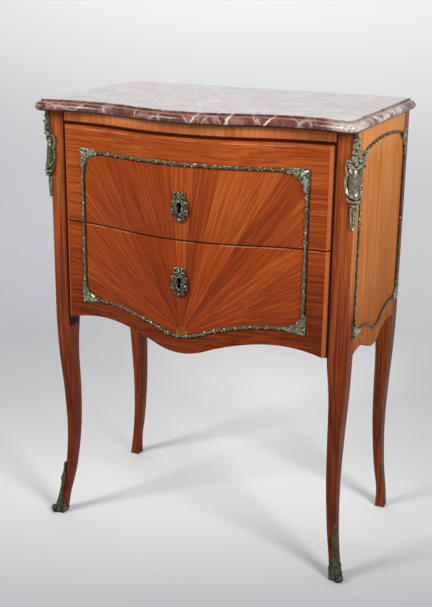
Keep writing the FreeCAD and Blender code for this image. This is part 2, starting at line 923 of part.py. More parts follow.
# an oblong round the side panel with an arched top and a bottom that follows the apron
def side_frame_outline(sketch, inset, spandrel):
    reach = side_frame_half_length + half_moulding - inset
    lift = s.side_frame_apron_rise - half_moulding + inset
    height = side_frame_height + half_moulding - inset
    arch = (reach * reach + s.side_frame_arch * s.side_frame_arch) / (2 * s.side_frame_arch)
    if spandrel is None:
        run = side_apron(lift, reach)
        top = [(side_middle + reach, height, (arch, 1)), (side_middle - reach, height, None)]
        outline(sketch, run + top)
        return
    narrow = reach - spandrel
    run = side_apron(lift, narrow)
    foot = side_apron(lift, reach)[0][1] + spandrel
    crown = height + s.side_frame_arch - arch + root(arch * arch - narrow * narrow)
    shoulder = height - spandrel
    round_corner = (spandrel, 1)
    right_y, right_z, bend = run[-1]
    corners = run[:-1]
    corners += [
        (right_y, right_z, round_corner),
        (side_middle + reach, foot, None),
        (side_middle + reach, shoulder, (arch_ease * spandrel, 1)),
        (side_middle + narrow, crown, (arch, 1)),
        (side_middle - narrow, crown, (arch_ease * spandrel, 1)),
        (side_middle - reach, shoulder, None),
        (side_middle - reach, foot, round_corner),
    ]
    outline(sketch, corners)


def build_side_frames():
    body = body_named("side_frame_right")
    outside = sketch_on(body, "YZ_Plane", "outside", side_face)
    side_frame_outline(outside, dim(0), None)
    pad(body, outside, s.moulding_thickness)
    field = sketch_on(body, "YZ_Plane", "field", side_face)
    side_frame_outline(field, s.moulding_width, s.side_spandrel_size)
    pocket_through(body, field, s.moulding_thickness)
    keep(body, "side_frame_right")
    mirrored("side_frame_left", body)


# Corner chutes and sabots: castings that wrap the outer arris and are hollowed to fit the leg

# a chute stops short of the frame on the side panel
chute_width = s.leg_size - s.side_frame_overlap - half_moulding - s.chute_frame_gap

# share of the height from the top, width and relief along a chute
chute_stations = [
    (0.00, 0.46, 0.35),
    (0.12, 0.60, 0.60),
    (0.26, 0.88, 0.85),
    (0.38, 1.00, 1.00),
    (0.52, 0.90, 0.90),
    (0.60, 0.50, 0.70),
    (0.66, 0.42, 0.55),
    (0.84, 0.36, 0.45),
    (1.00, 0.16, 0.20),
]
chute_arris_share = 0.6


# one view of a chute: its relief stands out from a face of the leg, its width lies across it
def chute_view(body, role, leg_face, outward, length):
    sketch = sketch_on(body, role, "chute_view")
    top = marble_bottom - s.running_gap
    outside = []
    inside = []
    for share, width, relief in chute_stations:
        height = top - share * s.chute_height
        outside.append((leg_face + outward * relief * s.chute_relief, height, None))
        inside.append((leg_face - outward * width * chute_width, height, None))
    corners = outside + inside[::-1]
    outline(sketch, corners if outward < 0 else corners[::-1])
    pad(body, sketch, length)


def build_chutes(leg):
    plan = body_named("chute_plan")
    sketch = sketch_on(plan, "XY_Plane", "chute_section", marble_bottom - s.chute_height - s.running_gap)
    size = chute_width + s.chute_relief
    arris = chute_arris_share * size
    post_section(sketch, side_face + s.chute_relief, leg_front - s.chute_relief, size, size, arris, 1)
    pad(plan, sketch, s.chute_height)
    front_view = body_named("chute_front_view")
    chute_view(front_view, "XZ_Plane", side_face, 1, s.chute_relief - leg_front)
    side_view = body_named("chute_side_view")
    chute_view(side_view, "YZ_Plane", leg_front, -1, side_face + s.chute_relief)
    shaped = common("chute_fronted", plan, front_view)
    blank = common("chute_blank", shaped, side_view)
    right = keep(cut("corner_mount", blank, [leg]), "corner_mount_right")
    mirrored("corner_mount_left", right)


# share of the height, and of the wrap round the foot
sabot_stations = [
    (0.00, 1.00),
    (0.16, 0.86),
    (0.34, 0.62),
    (0.60, 0.52),
    (1.00, 0.24),
]
sabot_arris_share = 0.4


def build_sabots(leg):
    body = body_named("sabot_blank")
    stations = leg_stations(s.leg_waist_inset, s.foot_kick)
    sections = []
    for share, wrap in sabot_stations:
        height = share * s.sabot_height
        inset = inset_at(stations, height)
        sketch = sketch_on(body, "XY_Plane", "sabot_section", height)
        outer = side_face - inset + s.sabot_wall
        face = leg_front + inset - s.sabot_wall
        size = wrap * s.sabot_wrap + s.sabot_wall
        post_section(sketch, outer, face, size, size, sabot_arris_share * size, 1)
        sections.append(sketch)
    loft(body, sections, straight=True)
    toe = doc.addObject("Part::Cylinder", "toe")
    toe.Placement.Rotation = Rotation(Vector(1, -1, 0), 90)
    tie(toe, "Radius", s.toe_radius)
    tie(toe, "Height", s.toe_width)
    diagonal = s.toe_width / (2 * math.sqrt(2))
    tie(toe, "Placement.Base.x", side_face + s.foot_kick + diagonal)
    tie(toe, "Placement.Base.y", leg_front - s.foot_kick + diagonal)
    tie(toe, "Placement.Base.z", s.toe_radius)
    shoe = doc.addObject("Part::Fuse", "shoe")
    shoe.Base = body
    shoe.Tool = toe
    right = keep(cut("sabot", shoe, [leg]), "sabot_right")
    mirrored("sabot_left", right)


# the leg's inset at a height, straight between two of its stations
def inset_at(stations, height):
    for (high, high_inset, *_), (low, low_inset, *_) in zip(stations, stations[1:]):
        if low.number <= height.number <= high.number:
            return low_inset + (high_inset - low_inset) * (height - low) / (high - low)
    raise RuntimeError("a sabot stands taller than its leg")


build_marble()
front_leg = build_legs()
build_sides()
build_rails()
build_boards()
build_drawers()
build_upper_frame()
build_lower_frame()
build_side_frames()
build_chutes(front_leg)
build_sabots(front_leg)
doc.recompute()

for item in doc.Objects:
    if "Invalid" in item.State or "Error" in item.State:
        raise RuntimeError(f"{item.Label} failed: {item.State}")
for piece in parts:
    if piece.Shape.isNull() or not piece.Shape.isValid():
        raise RuntimeError(f"{piece.Label} has no valid shape")

os.makedirs("parts", exist_ok=True)
for piece in parts:
    piece.Shape.exportStep(f"parts/{piece.Label}.step")
print(f"{len(parts)} sub-parts written")
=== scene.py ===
import math

import bpy
from mathutils import Matrix, Vector


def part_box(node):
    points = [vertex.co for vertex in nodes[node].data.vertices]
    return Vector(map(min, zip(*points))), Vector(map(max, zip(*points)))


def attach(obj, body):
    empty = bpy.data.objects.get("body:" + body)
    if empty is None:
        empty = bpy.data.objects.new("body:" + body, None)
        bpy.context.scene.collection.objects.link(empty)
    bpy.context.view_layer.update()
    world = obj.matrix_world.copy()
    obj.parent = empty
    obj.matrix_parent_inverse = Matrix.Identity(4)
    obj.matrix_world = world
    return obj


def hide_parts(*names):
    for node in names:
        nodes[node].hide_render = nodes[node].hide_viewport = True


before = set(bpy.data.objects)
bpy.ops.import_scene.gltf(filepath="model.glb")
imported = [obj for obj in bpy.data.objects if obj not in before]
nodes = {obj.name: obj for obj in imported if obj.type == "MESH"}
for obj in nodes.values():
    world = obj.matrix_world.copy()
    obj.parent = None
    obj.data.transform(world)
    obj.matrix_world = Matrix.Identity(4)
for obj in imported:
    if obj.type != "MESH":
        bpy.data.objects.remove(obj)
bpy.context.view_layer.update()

bpy.context.scene.view_settings.view_transform = "Standard"
print("frame loaded:", len(nodes), "pieces")

# places read from the frame, metres
marbleLow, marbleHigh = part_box("marble_top")
frontLow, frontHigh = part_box("upper_drawer_front")
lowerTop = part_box("lower_drawer_front")[1].z
railLow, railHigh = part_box("front_top_rail")
sideLow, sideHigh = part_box("side_panel_right")
sideFace = sideHigh.x


# small helpers for working by operators

def deselect():
    bpy.ops.object.select_all(action="DESELECT")


def pick(*pieces):  # these pieces alone, the first one active
    deselect()
    for piece in pieces:
        piece.select_set(True)
    bpy.context.view_layer.objects.active = pieces[0]


def openMesh(piece):
    pick(piece)
    bpy.ops.object.mode_set(mode="EDIT")
    bpy.ops.mesh.select_all(action="SELECT")


def closeMesh():
    bpy.ops.object.mode_set(mode="OBJECT")


def choose(piece, kind, test):  # selects what has its middle where the test says
    bpy.ops.mesh.select_mode(type=kind)
    bpy.ops.mesh.select_all(action="DESELECT")
    closeMesh()
    mesh = piece.data
    for item in {"VERT": mesh.vertices, "EDGE": mesh.edges, "FACE": mesh.polygons}[kind]:
        if kind == "VERT":
            middle = item.co
        elif kind == "EDGE":
            middle = (mesh.vertices[item.vertices[0]].co + mesh.vertices[item.vertices[1]].co) / 2
        else:
            middle = item.center
        item.select = bool(test(middle))
    bpy.ops.object.mode_set(mode="EDIT")


def newest(name):
    piece = bpy.context.object
    piece.name = name
    return piece


def copied(source, name):  # a new piece with its own mesh
    copy = bpy.data.objects.new(name, source.data.copy())
    bpy.context.scene.collection.objects.link(copy)
    return copy


def settle(piece):  # leaves the object at the origin with its place in its mesh
    pick(piece)
    bpy.ops.object.transform_apply(location=True, rotation=True, scale=True)


def cleanMesh(piece, near=1e-6):
    openMesh(piece)
    bpy.ops.mesh.remove_doubles(threshold=near)
    bpy.ops.mesh.normals_make_consistent(inside=False)
    closeMesh()


def smoothed(piece, angle):
    pick(piece)
    bpy.ops.object.shade_smooth_by_angle(angle=math.radians(angle))


def twin(piece, name):  # the same piece on the other side of the middle plane
    copy = copied(piece, name)
    copy.scale.x = -1
    settle(copy)
    cleanMesh(copy)
    return copy


def mounted(piece, body, slot, *stoodFor):
    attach(piece, body)
    if stoodFor:
        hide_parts(*stoodFor)
    return piece


# studio

studio = {
    "cameraPlace": (0.76309, -1.69990, 1.02246),
    "yaw": math.radians(-24.49),
    "pitch": math.radians(17.656),
    "roll": 0.0116,
    "focalPixels": 1066.14,
    "imageHeight": 607,
    "sensor": 36,
    "floorColour": (0.600, 0.610, 0.630),
    # painted shade on the floor close by
    "shadedNearColour": (0.310, 0.345, 0.378),
    "wallColour": (0.90, 0.90, 0.91),
    "sweepDepth": 2.2,
    "sweepHeight": 2.6,
    "sweepWidth": 9.0,
    "sweepRadius": 1.0,
    "skyColour": (0.95, 0.97, 1.0, 1),
    "skyLevel": 0.34,
    "skySeen": [("Is Glossy Ray", 0.12), ("Is Camera Ray", 0.85)],  # dim in reflections, pale behind
    "lamps": [  # name, place, aim, size, power, colour
        ("leftSoftbox", (-1.5, -1.9, 1.85), (0, 0, 0.45), (0.8, 1.0), 47, (1.0, 0.98, 0.95)),
        ("rightSoftbox", (2.0, -1.1, 1.75), (0, 0, 0.45), (0.8, 1.0), 47, (1.0, 0.98, 0.95)),
        ("wallWash", (-1.5, 0.9, 2.4), (-1.6, 2.1, 1.35), (2.6, 0.4), 18, (1.0, 1.0, 1.0)),
    ],
}


def placeCamera():
    yaw, pitch, roll = studio["yaw"], studio["pitch"], studio["roll"]
    ahead = Vector((math.sin(yaw) * math.cos(pitch), math.cos(yaw) * math.cos(pitch), -math.sin(pitch)))
    across = Vector((math.cos(yaw), -math.sin(yaw), 0))
    upward = across.cross(ahead)
    right = math.cos(roll) * across + math.sin(roll) * upward
    top = -math.sin(roll) * across + math.cos(roll) * upward
    turn = Matrix((right, top, -ahead)).transposed()
    bpy.ops.object.camera_add(location=studio["cameraPlace"], rotation=turn.to_euler())
    camera = newest("photoCamera")
    camera.data.sensor_width = studio["sensor"]
    camera.data.lens = studio["focalPixels"] * studio["sensor"] / studio["imageHeight"]
    bpy.context.scene.camera = camera


def makeSweep(finish):  # floor that curves up into a back wall
    width, depth = studio["sweepWidth"], studio["sweepDepth"]
    bpy.ops.mesh.primitive_plane_add(size=1, location=(0, 0, 0))
    sweep = newest("studioSweep")
    openMesh(sweep)
    bpy.ops.transform.resize(value=(width, width / 2 + depth, 1))
    bpy.ops.transform.translate(value=(0, (depth - width / 2) / 2, 0))
    choose(sweep, "EDGE", lambda middle: middle.y > depth - 0.1)
    bpy.ops.mesh.extrude_region_move(TRANSFORM_OT_translate={"value": (0, 0, studio["sweepHeight"])})
    choose(sweep, "EDGE", lambda middle: middle.y > depth - 0.1 and middle.z < 0.1 and abs(middle.x) < 0.1)
    bpy.ops.mesh.bevel(offset=studio["sweepRadius"], segments=24)
    closeMesh()
    settle(sweep)
    smoothed(sweep, 60)
    sweep.data.materials.append(finish)


def placeLamp(name, place, aim, size, power, colour):
    bpy.ops.object.light_add(type="AREA", location=place)
    lamp = newest(name)
    lamp.rotation_euler = (Vector(aim) - Vector(place)).to_track_quat("-Z", "Y").to_euler()
    lamp.data.shape = "RECTANGLE"
    lamp.data.size, lamp.data.size_y = size
    lamp.data.energy = power
    lamp.data.color = colour


def lightStudio():
    world = bpy.data.worlds.new("studioWorld")
    bpy.context.scene.world = world
    world.use_nodes = True
    tree = world.node_tree
    sky = tree.nodes["Background"]
    sky.inputs["Color"].default_value = studio["skyColour"]
    seen = tree.nodes.new("ShaderNodeLightPath")
    level = None
    for ray, strength in studio["skySeen"]:
        blend = tree.nodes.new("ShaderNodeMix")
        blend.inputs[2].default_value = studio["skyLevel"]
        blend.inputs[3].default_value = strength
        tree.links.new(seen.outputs[ray], blend.inputs[0])
        if level is not None:
            tree.links.new(level, blend.inputs[2])
        level = blend.outputs[0]
    tree.links.new(level, sky.inputs["Strength"])
    for lamp in studio["lamps"]:
        placeLamp(*lamp)


# finishes

class Socket:  # a shader value that can stand in a sum
    def __init__(self, finish, socket):
        self.finish = finish
        self.socket = socket

    def __add__(self, other):
        return self.finish.maths("ADD", self, other)

    def __radd__(self, other):
        return self.finish.maths("ADD", other, self)

    def __sub__(self, other):
        return self.finish.maths("SUBTRACT", self, other)

    def __rsub__(self, other):
        return self.finish.maths("SUBTRACT", other, self)

    def __mul__(self, other):
        return self.finish.maths("MULTIPLY", self, other)

    def __rmul__(self, other):
        return self.finish.maths("MULTIPLY", other, self)

    def __truediv__(self, other):
        return self.finish.maths("DIVIDE", self, other)

    def __rtruediv__(self, other):
        return self.finish.maths("DIVIDE", other, self)

    def __gt__(self, other):
        return self.finish.maths("GREATER_THAN", self, other)

    def __lt__(self, other):
        return self.finish.maths("LESS_THAN", self, other)

    def __abs__(self):
        return self.finish.maths("ABSOLUTE", self)


class Finish:
    def __init__(self, name, **even):
        self.material = bpy.data.materials.new(name)
        self.material.use_nodes = True
        self.tree = self.material.node_tree
        self.shader = self.tree.nodes["Principled BSDF"]
        for socket, value in even.items():
            self.shader.inputs[socket.replace("_", " ")].default_value = value
        self.here = self.add("ShaderNodeTexCoord", out="Object")
        parts = self.add("ShaderNodeSeparateXYZ", out=None, Vector=self.here)
        self.x, self.y, self.z = [Socket(self, parts.outputs[axis]) for axis in "XYZ"]

    def add(self, kind, settings=None, out=0, **inputs):  # any node: settings first, then its sockets
        node = self.tree.nodes.new(kind)
        for name, value in (settings or {}).items():
            if name == "stops":
                stops = node.color_ramp.elements
                while len(stops) < len(value):
                    stops.new(0.5)
                for stop, (place, colour) in zip(stops, value):
                    stop.position = place
                    stop.color = (*colour, 1)
            else:
                setattr(node, name, value)
        for name, value in inputs.items():
            socket = node.inputs[int(name[1:])] if name[0] == "_" else node.inputs[name]
            if isinstance(value, Socket):
                self.tree.links.new(value.socket, socket)
            elif value is not None:
                socket.default_value = value
        return node if out is None else Socket(self, node.outputs[out])

    def maths(self, operation, first, second=None):
        return self.add("ShaderNodeMath", {"operation": operation}, _0=first, _1=second)

    def root(self, value):
        return self.maths("SQRT", value)

    def most(self, first, *others):  # the largest of the values
        for other in others:
            first = self.maths("MAXIMUM", first, other)
        return first

    def noise(self, x, y, z, detail=2.0):
        where = self.add("ShaderNodeCombineXYZ", X=x, Y=y, Z=z)
        return self.add("ShaderNodeTexNoise", Vector=where, Scale=1.0, Detail=detail)

    def speckle(self, scale, detail=2.0, rough=0.5, where=None):  # noise as fine in every direction
        inputs = {"Vector": where or self.here, "Scale": scale, "Detail": detail, "Roughness": rough}
        return self.add("ShaderNodeTexNoise", **inputs)

    def cracks(self, scale, where):  # distance to the nearest edge between pebbles
        return self.add("ShaderNodeTexVoronoi", {"feature": "DISTANCE_TO_EDGE"}, Vector=where, Scale=scale)

    def lot(self, number):  # a random value for each whole number
        return self.add("ShaderNodeTexWhiteNoise", {"noise_dimensions": "1D"}, W=number)

    def facing(self, axis):  # how far the surface looks along an axis
        normal = self.add("ShaderNodeNewGeometry", out="Normal")
        return self.add("ShaderNodeSeparateXYZ", out=axis, Vector=normal)

    def between(self, value, low, high, start=0.0, end=1.0):  # eased from start to end
        settings = {"interpolation_type": "SMOOTHSTEP"}
        node = self.add("ShaderNodeMapRange", settings, out=None, Value=value)
        for name, number in {"From Min": low, "From Max": high, "To Min": start, "To Max": end}.items():
            node.inputs[name].default_value = number
        return Socket(self, node.outputs[0])

    def ramp(self, value, stops):
        return self.add("ShaderNodeValToRGB", {"stops": stops}, Fac=value)

    def mixed(self, share, first, second):
        def colour(value):
            return value if isinstance(value, Socket) else (*value, 1)
        settings = {"data_type": "RGBA"}
        return self.add("ShaderNodeMix", settings, out=2, _0=share, _6=colour(first), _7=colour(second))

    def feed(self, **links):
        for name, value in links.items():
            self.tree.links.new(value.socket, self.shader.inputs[name.replace("_", " ")])

    def bump(self, height, depth, strength):
        self.feed(Normal=self.add("ShaderNodeBump", Strength=strength, Distance=depth, Height=height))

    def grained(self, figure, dull, bright):  # the wood's figure shows in its gloss and relief too
        self.feed(Roughness=self.between(figure, 0, 1, dull, bright))
        self.bump(figure, 0.0002, 0.3)
        return self.material


woodTones = {  # dark streak, body, light streak, linear
    "front": [(0.0, (0.120, 0.018, 0.005)), (0.5, (0.274, 0.044, 0.008)), (1.0, (0.482, 0.109, 0.021))],
    "border": [(0.0, (0.115, 0.018, 0.005)), (0.5, (0.265, 0.044, 0.008)), (1.0, (0.450, 0.104, 0.020))],
    "leg": [(0.0, (0.070, 0.012, 0.005)), (0.45, (0.165, 0.030, 0.009)), (1.0, (0.400, 0.098, 0.022))],
    "side": [(0.0, (0.320, 0.092, 0.022)), (0.5, (0.480, 0.165, 0.043)), (1.0, (0.640, 0.260, 0.078))],
    "frieze": [(0.0, (0.330, 0.072, 0.022)), (0.5, (0.560, 0.150, 0.044)), (1.0, (0.740, 0.250, 0.085))],
    "oak": [(0.0, (0.120, 0.058, 0.022)), (0.5, (0.290, 0.165, 0.078)), (1.0, (0.420, 0.270, 0.140))],
    "drawer": [(0.0, (0.200, 0.105, 0.042)), (0.5, (0.390, 0.240, 0.120)), (1.0, (0.520, 0.360, 0.200))],
}
varnish = {"Specular_IOR_Level": 0.02, "Coat_Weight": 0.11, "Coat_Roughness": 0.10}
# painted shade: the dark colour painted into gaps, creases, keyholes and the lee of the mounts
paintedShadeTone = (0.022, 0.005, 0.003)
oakStreaks = 110


def grain(finish, along, across, depth, broad, fine=1300):  # streaks that run along, pores between
    bands = finish.noise(across * broad, along * (broad * 0.022), depth * broad, detail=3)
    pores = finish.noise(across * fine, along * (fine * 0.016), depth * fine, detail=2)
    return finish.between(bands * 0.68 + pores * 0.32, 0.30, 0.70)


def plainWood(name, tones, axes, rough):  # axes: along the grain, across it and into the board
    finish = Finish(name, Specular_IOR_Level=0.25)
    along, across, depth = [getattr(finish, axis) for axis in axes]
    figure = grain(finish, along, across, depth, oakStreaks)
    finish.feed(Base_Color=finish.ramp(figure, woodTones[tones]))
    return finish.grained(figure, rough + 0.08, rough - 0.05)


# drawer fronts: a sunburst inside the bronze frame, crossbanding round it

frontField = {  # the panel inside the frame
    "half": 0.206,
    "top": 0.7148,
    "lobeHeight": 0.513,
    "lobeRadius": 0.092,
    "lobeHalf": 0.0343,
    "crestAt": 0.155,
    "crestHeight": 0.1276,
    "crestRadius": 0.3234,
}
sunburst = {
    "middle": (0.004, 0.427),  # x and height of the sun
    "sunRadius": 0.0115,
    "ray": math.radians(8.6),  # one wedge of veneer
    "joint": 0.00022,
    "streaks": 390,
    "contrast": 0.54,
    "paintedLightRise": (0.42, 0.72),  # heights between which painted light lightens the veneer upwards
}
frontPaintedLight = {
    "bevel": 0.007,  # width of the slope round the fronts
    # painted light on the bevelled slope
    "slope": (0.64, 0.180, 0.055),
    # painted highlight on the arrises
    "arrisHighlight": (0.72, 0.36, 0.20),
    "lee": (0.0036, 0.0066),  # painted shadow beside the frame, from its middle line
    "keyholes": (0.644, 0.516),  # heights of their middles
    # size of the painted shade in a keyhole
    "keyRadius": 0.0056,
    "mount": (0.0032, -0.0035),  # middle of the painted shadow round a mount, from its keyhole
    "mountHalf": (0.0164, 0.0255),
}


def fieldFloor(finish, out):  # height of the frame's lower run over the apron
    f = frontField
    square = finish.maths("MINIMUM", out * out, 0.006)  # kept inside the lobe's circle
    lobe = f["lobeHeight"] - finish.root(f["lobeRadius"] ** 2 - square)
    past = out - f["crestAt"]
    crest = f["crestHeight"] + finish.root(f["crestRadius"] ** 2 - past * past)
    inLobe = out < f["lobeHalf"]
    return inLobe * lobe + (1 - inLobe) * crest


def rays(finish, x, z, spec, tones):  # wedges of straight veneer round a middle
    dx = x - spec["middle"][0]
    dz = z - spec["middle"][1]
    angle = finish.maths("ARCTAN2", dx, dz) / spec["ray"] + 0.5
    radius = finish.root(dx * dx + dz * dz)
    number = finish.maths("FLOOR", angle)
    offset = angle - number - 0.5
    across = radius * offset * spec["ray"]
    along = radius + number * 3.7  # no wedge repeats another's figure
    figure = grain(finish, along, across + number * 0.31, finish.y * 0.2, spec["streaks"])
    plain = 1 - spec["contrast"]
    shade = figure * spec["contrast"] + finish.lot(number) * plain * 0.70 + plain * 0.15
    # painted light: the veneer lighter towards the top, darker towards the bottom
    shade = shade + finish.between(z, spec["paintedLightRise"][0], spec["paintedLightRise"][1], -0.14, 0.14)
    joint = (0.5 - abs(offset)) * radius * spec["ray"] < spec["joint"]
    colour = finish.mixed(joint * 0.45, finish.ramp(shade, tones), (0.06, 0.012, 0.006))
    return colour, radius, figure


def paintedEdgeLight(finish, face, out):  # painted light: a paler slope round the fronts, and painted highlights on the arrises in places
    z, bevel = finish.z, frontPaintedLight["bevel"]
    # painted light: the end and top slopes paler
    end = finish.between(out, frontHigh.x - bevel, frontHigh.x - bevel + 0.0006, 0, 0.5)
    upper = finish.between(z, frontHigh.z - bevel, frontHigh.z - bevel + 0.001, 0, 0.12)
    face = finish.mixed(finish.most(end, upper), face, frontPaintedLight["slope"])
    patch = finish.between(finish.noise(finish.x * 22, 0.3, 0.7), 0.42, 0.60)
    # painted highlights on the upper arris and on the lower drawer's top edge, in patches
    arris = abs(z - frontHigh.z + bevel - 0.0002) < 0.0007
    edge = (z > lowerTop - 0.0013) * (z < lowerTop + 0.0001)
    return finish.mixed((arris * 0.42 + edge * 0.40) * patch, face, frontPaintedLight["arrisHighlight"])


def paintedFrontShade(finish, out, floor):  # painted shade in the joints, gaps, keyholes and crease; painted shadow in the lee of the frame and round the mounts
    x, z = finish.x, finish.z
    half, top = frontField["half"], frontField["top"]
    # painted shade in the joint between the drawers, under the frieze and at the drawers' ends
    joint = (z > frontLow.z - 0.0001) * (z < frontLow.z + 0.0020)
    upper = finish.between(z, frontHigh.z - 0.0030, frontHigh.z - 0.0018)
    end = finish.between(out, frontHigh.x - 0.0016, frontHigh.x - 0.0010)
    darkening = finish.most(joint, upper, end)
    tall = (z < top + 0.002) * (z > floor - 0.004)
    wide = out < half + 0.004
    # painted shadow in the lee of each run of the frame
    for run, past in ((tall, x + half), (tall, x - half), (wide, top - z), (wide, floor - z)):
        darkening = finish.most(darkening, run * (past > 0) * finish.between(past, *frontPaintedLight["lee"], 0.94, 0))
    # painted shade in each keyhole and a painted shadow round its mount
    for height in frontPaintedLight["keyholes"]:
        dz = z - height
        hole = finish.root(x * x + dz * dz * 0.35) < frontPaintedLight["keyRadius"]
        beside = (x - frontPaintedLight["mount"][0]) / frontPaintedLight["mountHalf"][0]
        under = (dz - frontPaintedLight["mount"][1]) / frontPaintedLight["mountHalf"][1]
        ring = finish.root(beside * beside + under * under)
        darkening = finish.most(darkening, hole * 1.1, finish.between(ring, 0.90, 1.06, 0.72, 0))
    # painted shade in the crease at the foot of the bevel
    crease = abs(out - frontHigh.x + frontPaintedLight["bevel"]) < 0.0005
    return finish.most(crease * 0.4, darkening * 0.88)


def frontVeneer():
    finish = Finish("frontVeneer", **varnish)
    x, y, z, out = finish.x, finish.y, finish.z, abs(finish.x)
    burst, radius, figure = rays(finish, x, z, sunburst, woodTones["front"])
    sun = finish.ramp(grain(finish, x, z, y, 200), woodTones["side"])
    burst = finish.mixed((radius < sunburst["sunRadius"]) * 0.24, burst, sun)
    wave = z + finish.noise(x * 7, z * 7, y) * 0.006
    bandFigure = grain(finish, x * 0.35, wave, y * 0.3, 340)
    lit = finish.between(z, 0.40, 0.68, -0.34, 0.18) + finish.between(x, 0.12, 0.24, 0, -0.10)
    band = finish.ramp(bandFigure * 0.64 + 0.18 + lit, woodTones["border"])
    floor = fieldFloor(finish, out)
    inside = (out < frontField["half"]) * (z < frontField["top"]) * (z > floor)
    # painted light on the bevelled slope and painted highlights on the arrises
    face = paintedEdgeLight(finish, finish.mixed(inside, band, burst), out)
    # painted shade in the gaps, keyholes and crease, painted shadow beside the frame and mounts
    face = finish.mixed(paintedFrontShade(finish, out, floor), face, paintedShadeTone)
    core = finish.ramp(grain(finish, x, z, y, oakStreaks), woodTones["drawer"])
    finish.feed(Base_Color=finish.mixed(finish.facing("Y") > 0.4, face, core))  # bare core inside
    return finish.grained(inside * figure + (1 - inside) * bandFigure, 0.36, 0.26)


# side panels, frieze and legs

sideField = {  # the panel inside a side's frame, about its middle
    "middle": 0.0285,
    "half": 0.126,
    "archRadius": 0.574,
    "archCentre": 0.182,
    "lobeHeight": 0.456,
    "lobeRadius": 0.036,
    "lobeHalf": 0.0113,
    "crestAt": 0.088,
    "crestHeight": 0.30667,
    "crestRadius": 0.13733,
    "corner": 0.024,
}
sideFan = {
    "middle": (0.030, 0.300),  # depth and height that the grain fans from
    "ray": math.radians(60),
    "joint": 0.0,
    "streaks": 260,
    "contrast": 0.86,
    # painted light: lighter upwards between these heights
    "paintedLightRise": (0.42, 0.80),
    "upper": (0.72, 0.330, 0.120),
    "lower": (0.20, 0.050, 0.014),
}


def sideVeneer():
    finish = Finish("sideVeneer", Specular_IOR_Level=0.0, Coat_Weight=0.05, Coat_Roughness=0.12)
    fan, _, figure = rays(finish, finish.y, finish.z, sideFan, woodTones["side"])
    fan = finish.mixed(finish.between(finish.z, 0.72, 0.76, 0, 0.45), fan, sideFan["upper"])
    fan = finish.mixed(finish.between(finish.z, 0.40, 0.56, 0.40, 0), fan, sideFan["lower"])
    finish.feed(Base_Color=fan)
    return finish.grained(figure, 0.36, 0.26)


def friezeVeneer():  # upright crossbanding in blocks, painted shade along its foot
    finish = Finish("friezeVeneer", **varnish)
    x, z = finish.x, finish.z
    figure = grain(finish, z, x, finish.y, 170)
    block = finish.maths("FLOOR", x / 0.019 + finish.noise(x * 60, 0.0, 0.0) * 0.5)
    lift = finish.between(z, railLow.z + 0.004, railHigh.z - 0.006, -0.02, 0.29)  # painted light, lighter upwards against the shade under the marble
    # painted shade: darker towards the right end
    ends = finish.between(x, 0.04, 0.20, 0, -0.16)
    shade = figure * 0.40 + finish.lot(block) * 0.26 + 0.18 + lift + ends
    # painted shade: a dark band along the foot, for the gap below it
    foot = finish.between(z, railLow.z + 0.0018, railLow.z + 0.0032, 0.92, 0)
    finish.feed(Base_Color=finish.mixed(foot, finish.ramp(shade, woodTones["frieze"]), paintedShadeTone))
    return finish.grained(figure, 0.38, 0.28)


def legVeneer():  # upright grain, painted shade darker towards the feet
    finish = Finish("legVeneer", **varnish)
    figure = grain(finish, finish.z, finish.x, finish.y, 260)
    # painted shade: lower down the leg is darker
    paintedLight = finish.between(finish.z, 0.10, 0.76, 0.28, -0.28)
    back = finish.y > 0.1
    turned = finish.facing("X") * finish.maths("SIGN", finish.x)  # outwards on either side
    shade = back * finish.between(turned, 0.3, 0.9, 0.16, -0.20)
    veneer = finish.ramp(figure * 0.66 + 0.17 - paintedLight + shade, woodTones["leg"])
    outer = finish.between(turned, 0.72, 0.95) * finish.between(finish.z, 0.44, 0.58, 0, 0.85) * (1 - back)
    veneer = finish.mixed(outer, veneer, finish.ramp(figure - paintedLight, woodTones["side"]))
    # painted shade: a dark line in the gap beside the drawers
    gap = finish.between(abs(finish.x), sideFace - 0.0325, sideFace - 0.0295, 0.92, 0)
    finish.feed(Base_Color=finish.mixed(gap * (finish.z > 0.385) * (1 - back), veneer, paintedShadeTone))
    return finish.grained(figure, 0.38, 0.25)


# marble, bronze, iron and the studio's paper

slab = {
    "bow": 0.037,
    "valley": 0.197,  # how far out the hollows lie
    "corner": 0.016,
    "noseOut": 0.0098,
    "noseUp": 0.0088,
    "undercut": 0.0082,
    "lip": 0.0040,
    "lipRound": 0.0014,
    "frontPoints": 121,
    "cornerPoints": 10,
    "noseSteps": 7,
}
marbleTones = {
    "brown": (0.100, 0.028, 0.019),
    "red": (0.198, 0.056, 0.037),
    "rose": (0.370, 0.215, 0.178),
    "grey": (0.460, 0.365, 0.325),
    # painted reflection on the table top
    "pale": (0.530, 0.485, 0.460),
    "litLedge": (0.460, 0.262, 0.212),
    # painted shade under the nose
    "under": (0.016, 0.009, 0.007),
    "vein": (0.740, 0.680, 0.630),
    "cream": (0.660, 0.570, 0.500),
    "creamAt": (0.302, -0.108, 0.812),
    "bold": [(0.0295, 0.82, 0.0016), (0.0835, 0.42, 0.0026), (0.1440, 1.05, 0.0021)],  # x, lean, half width
}


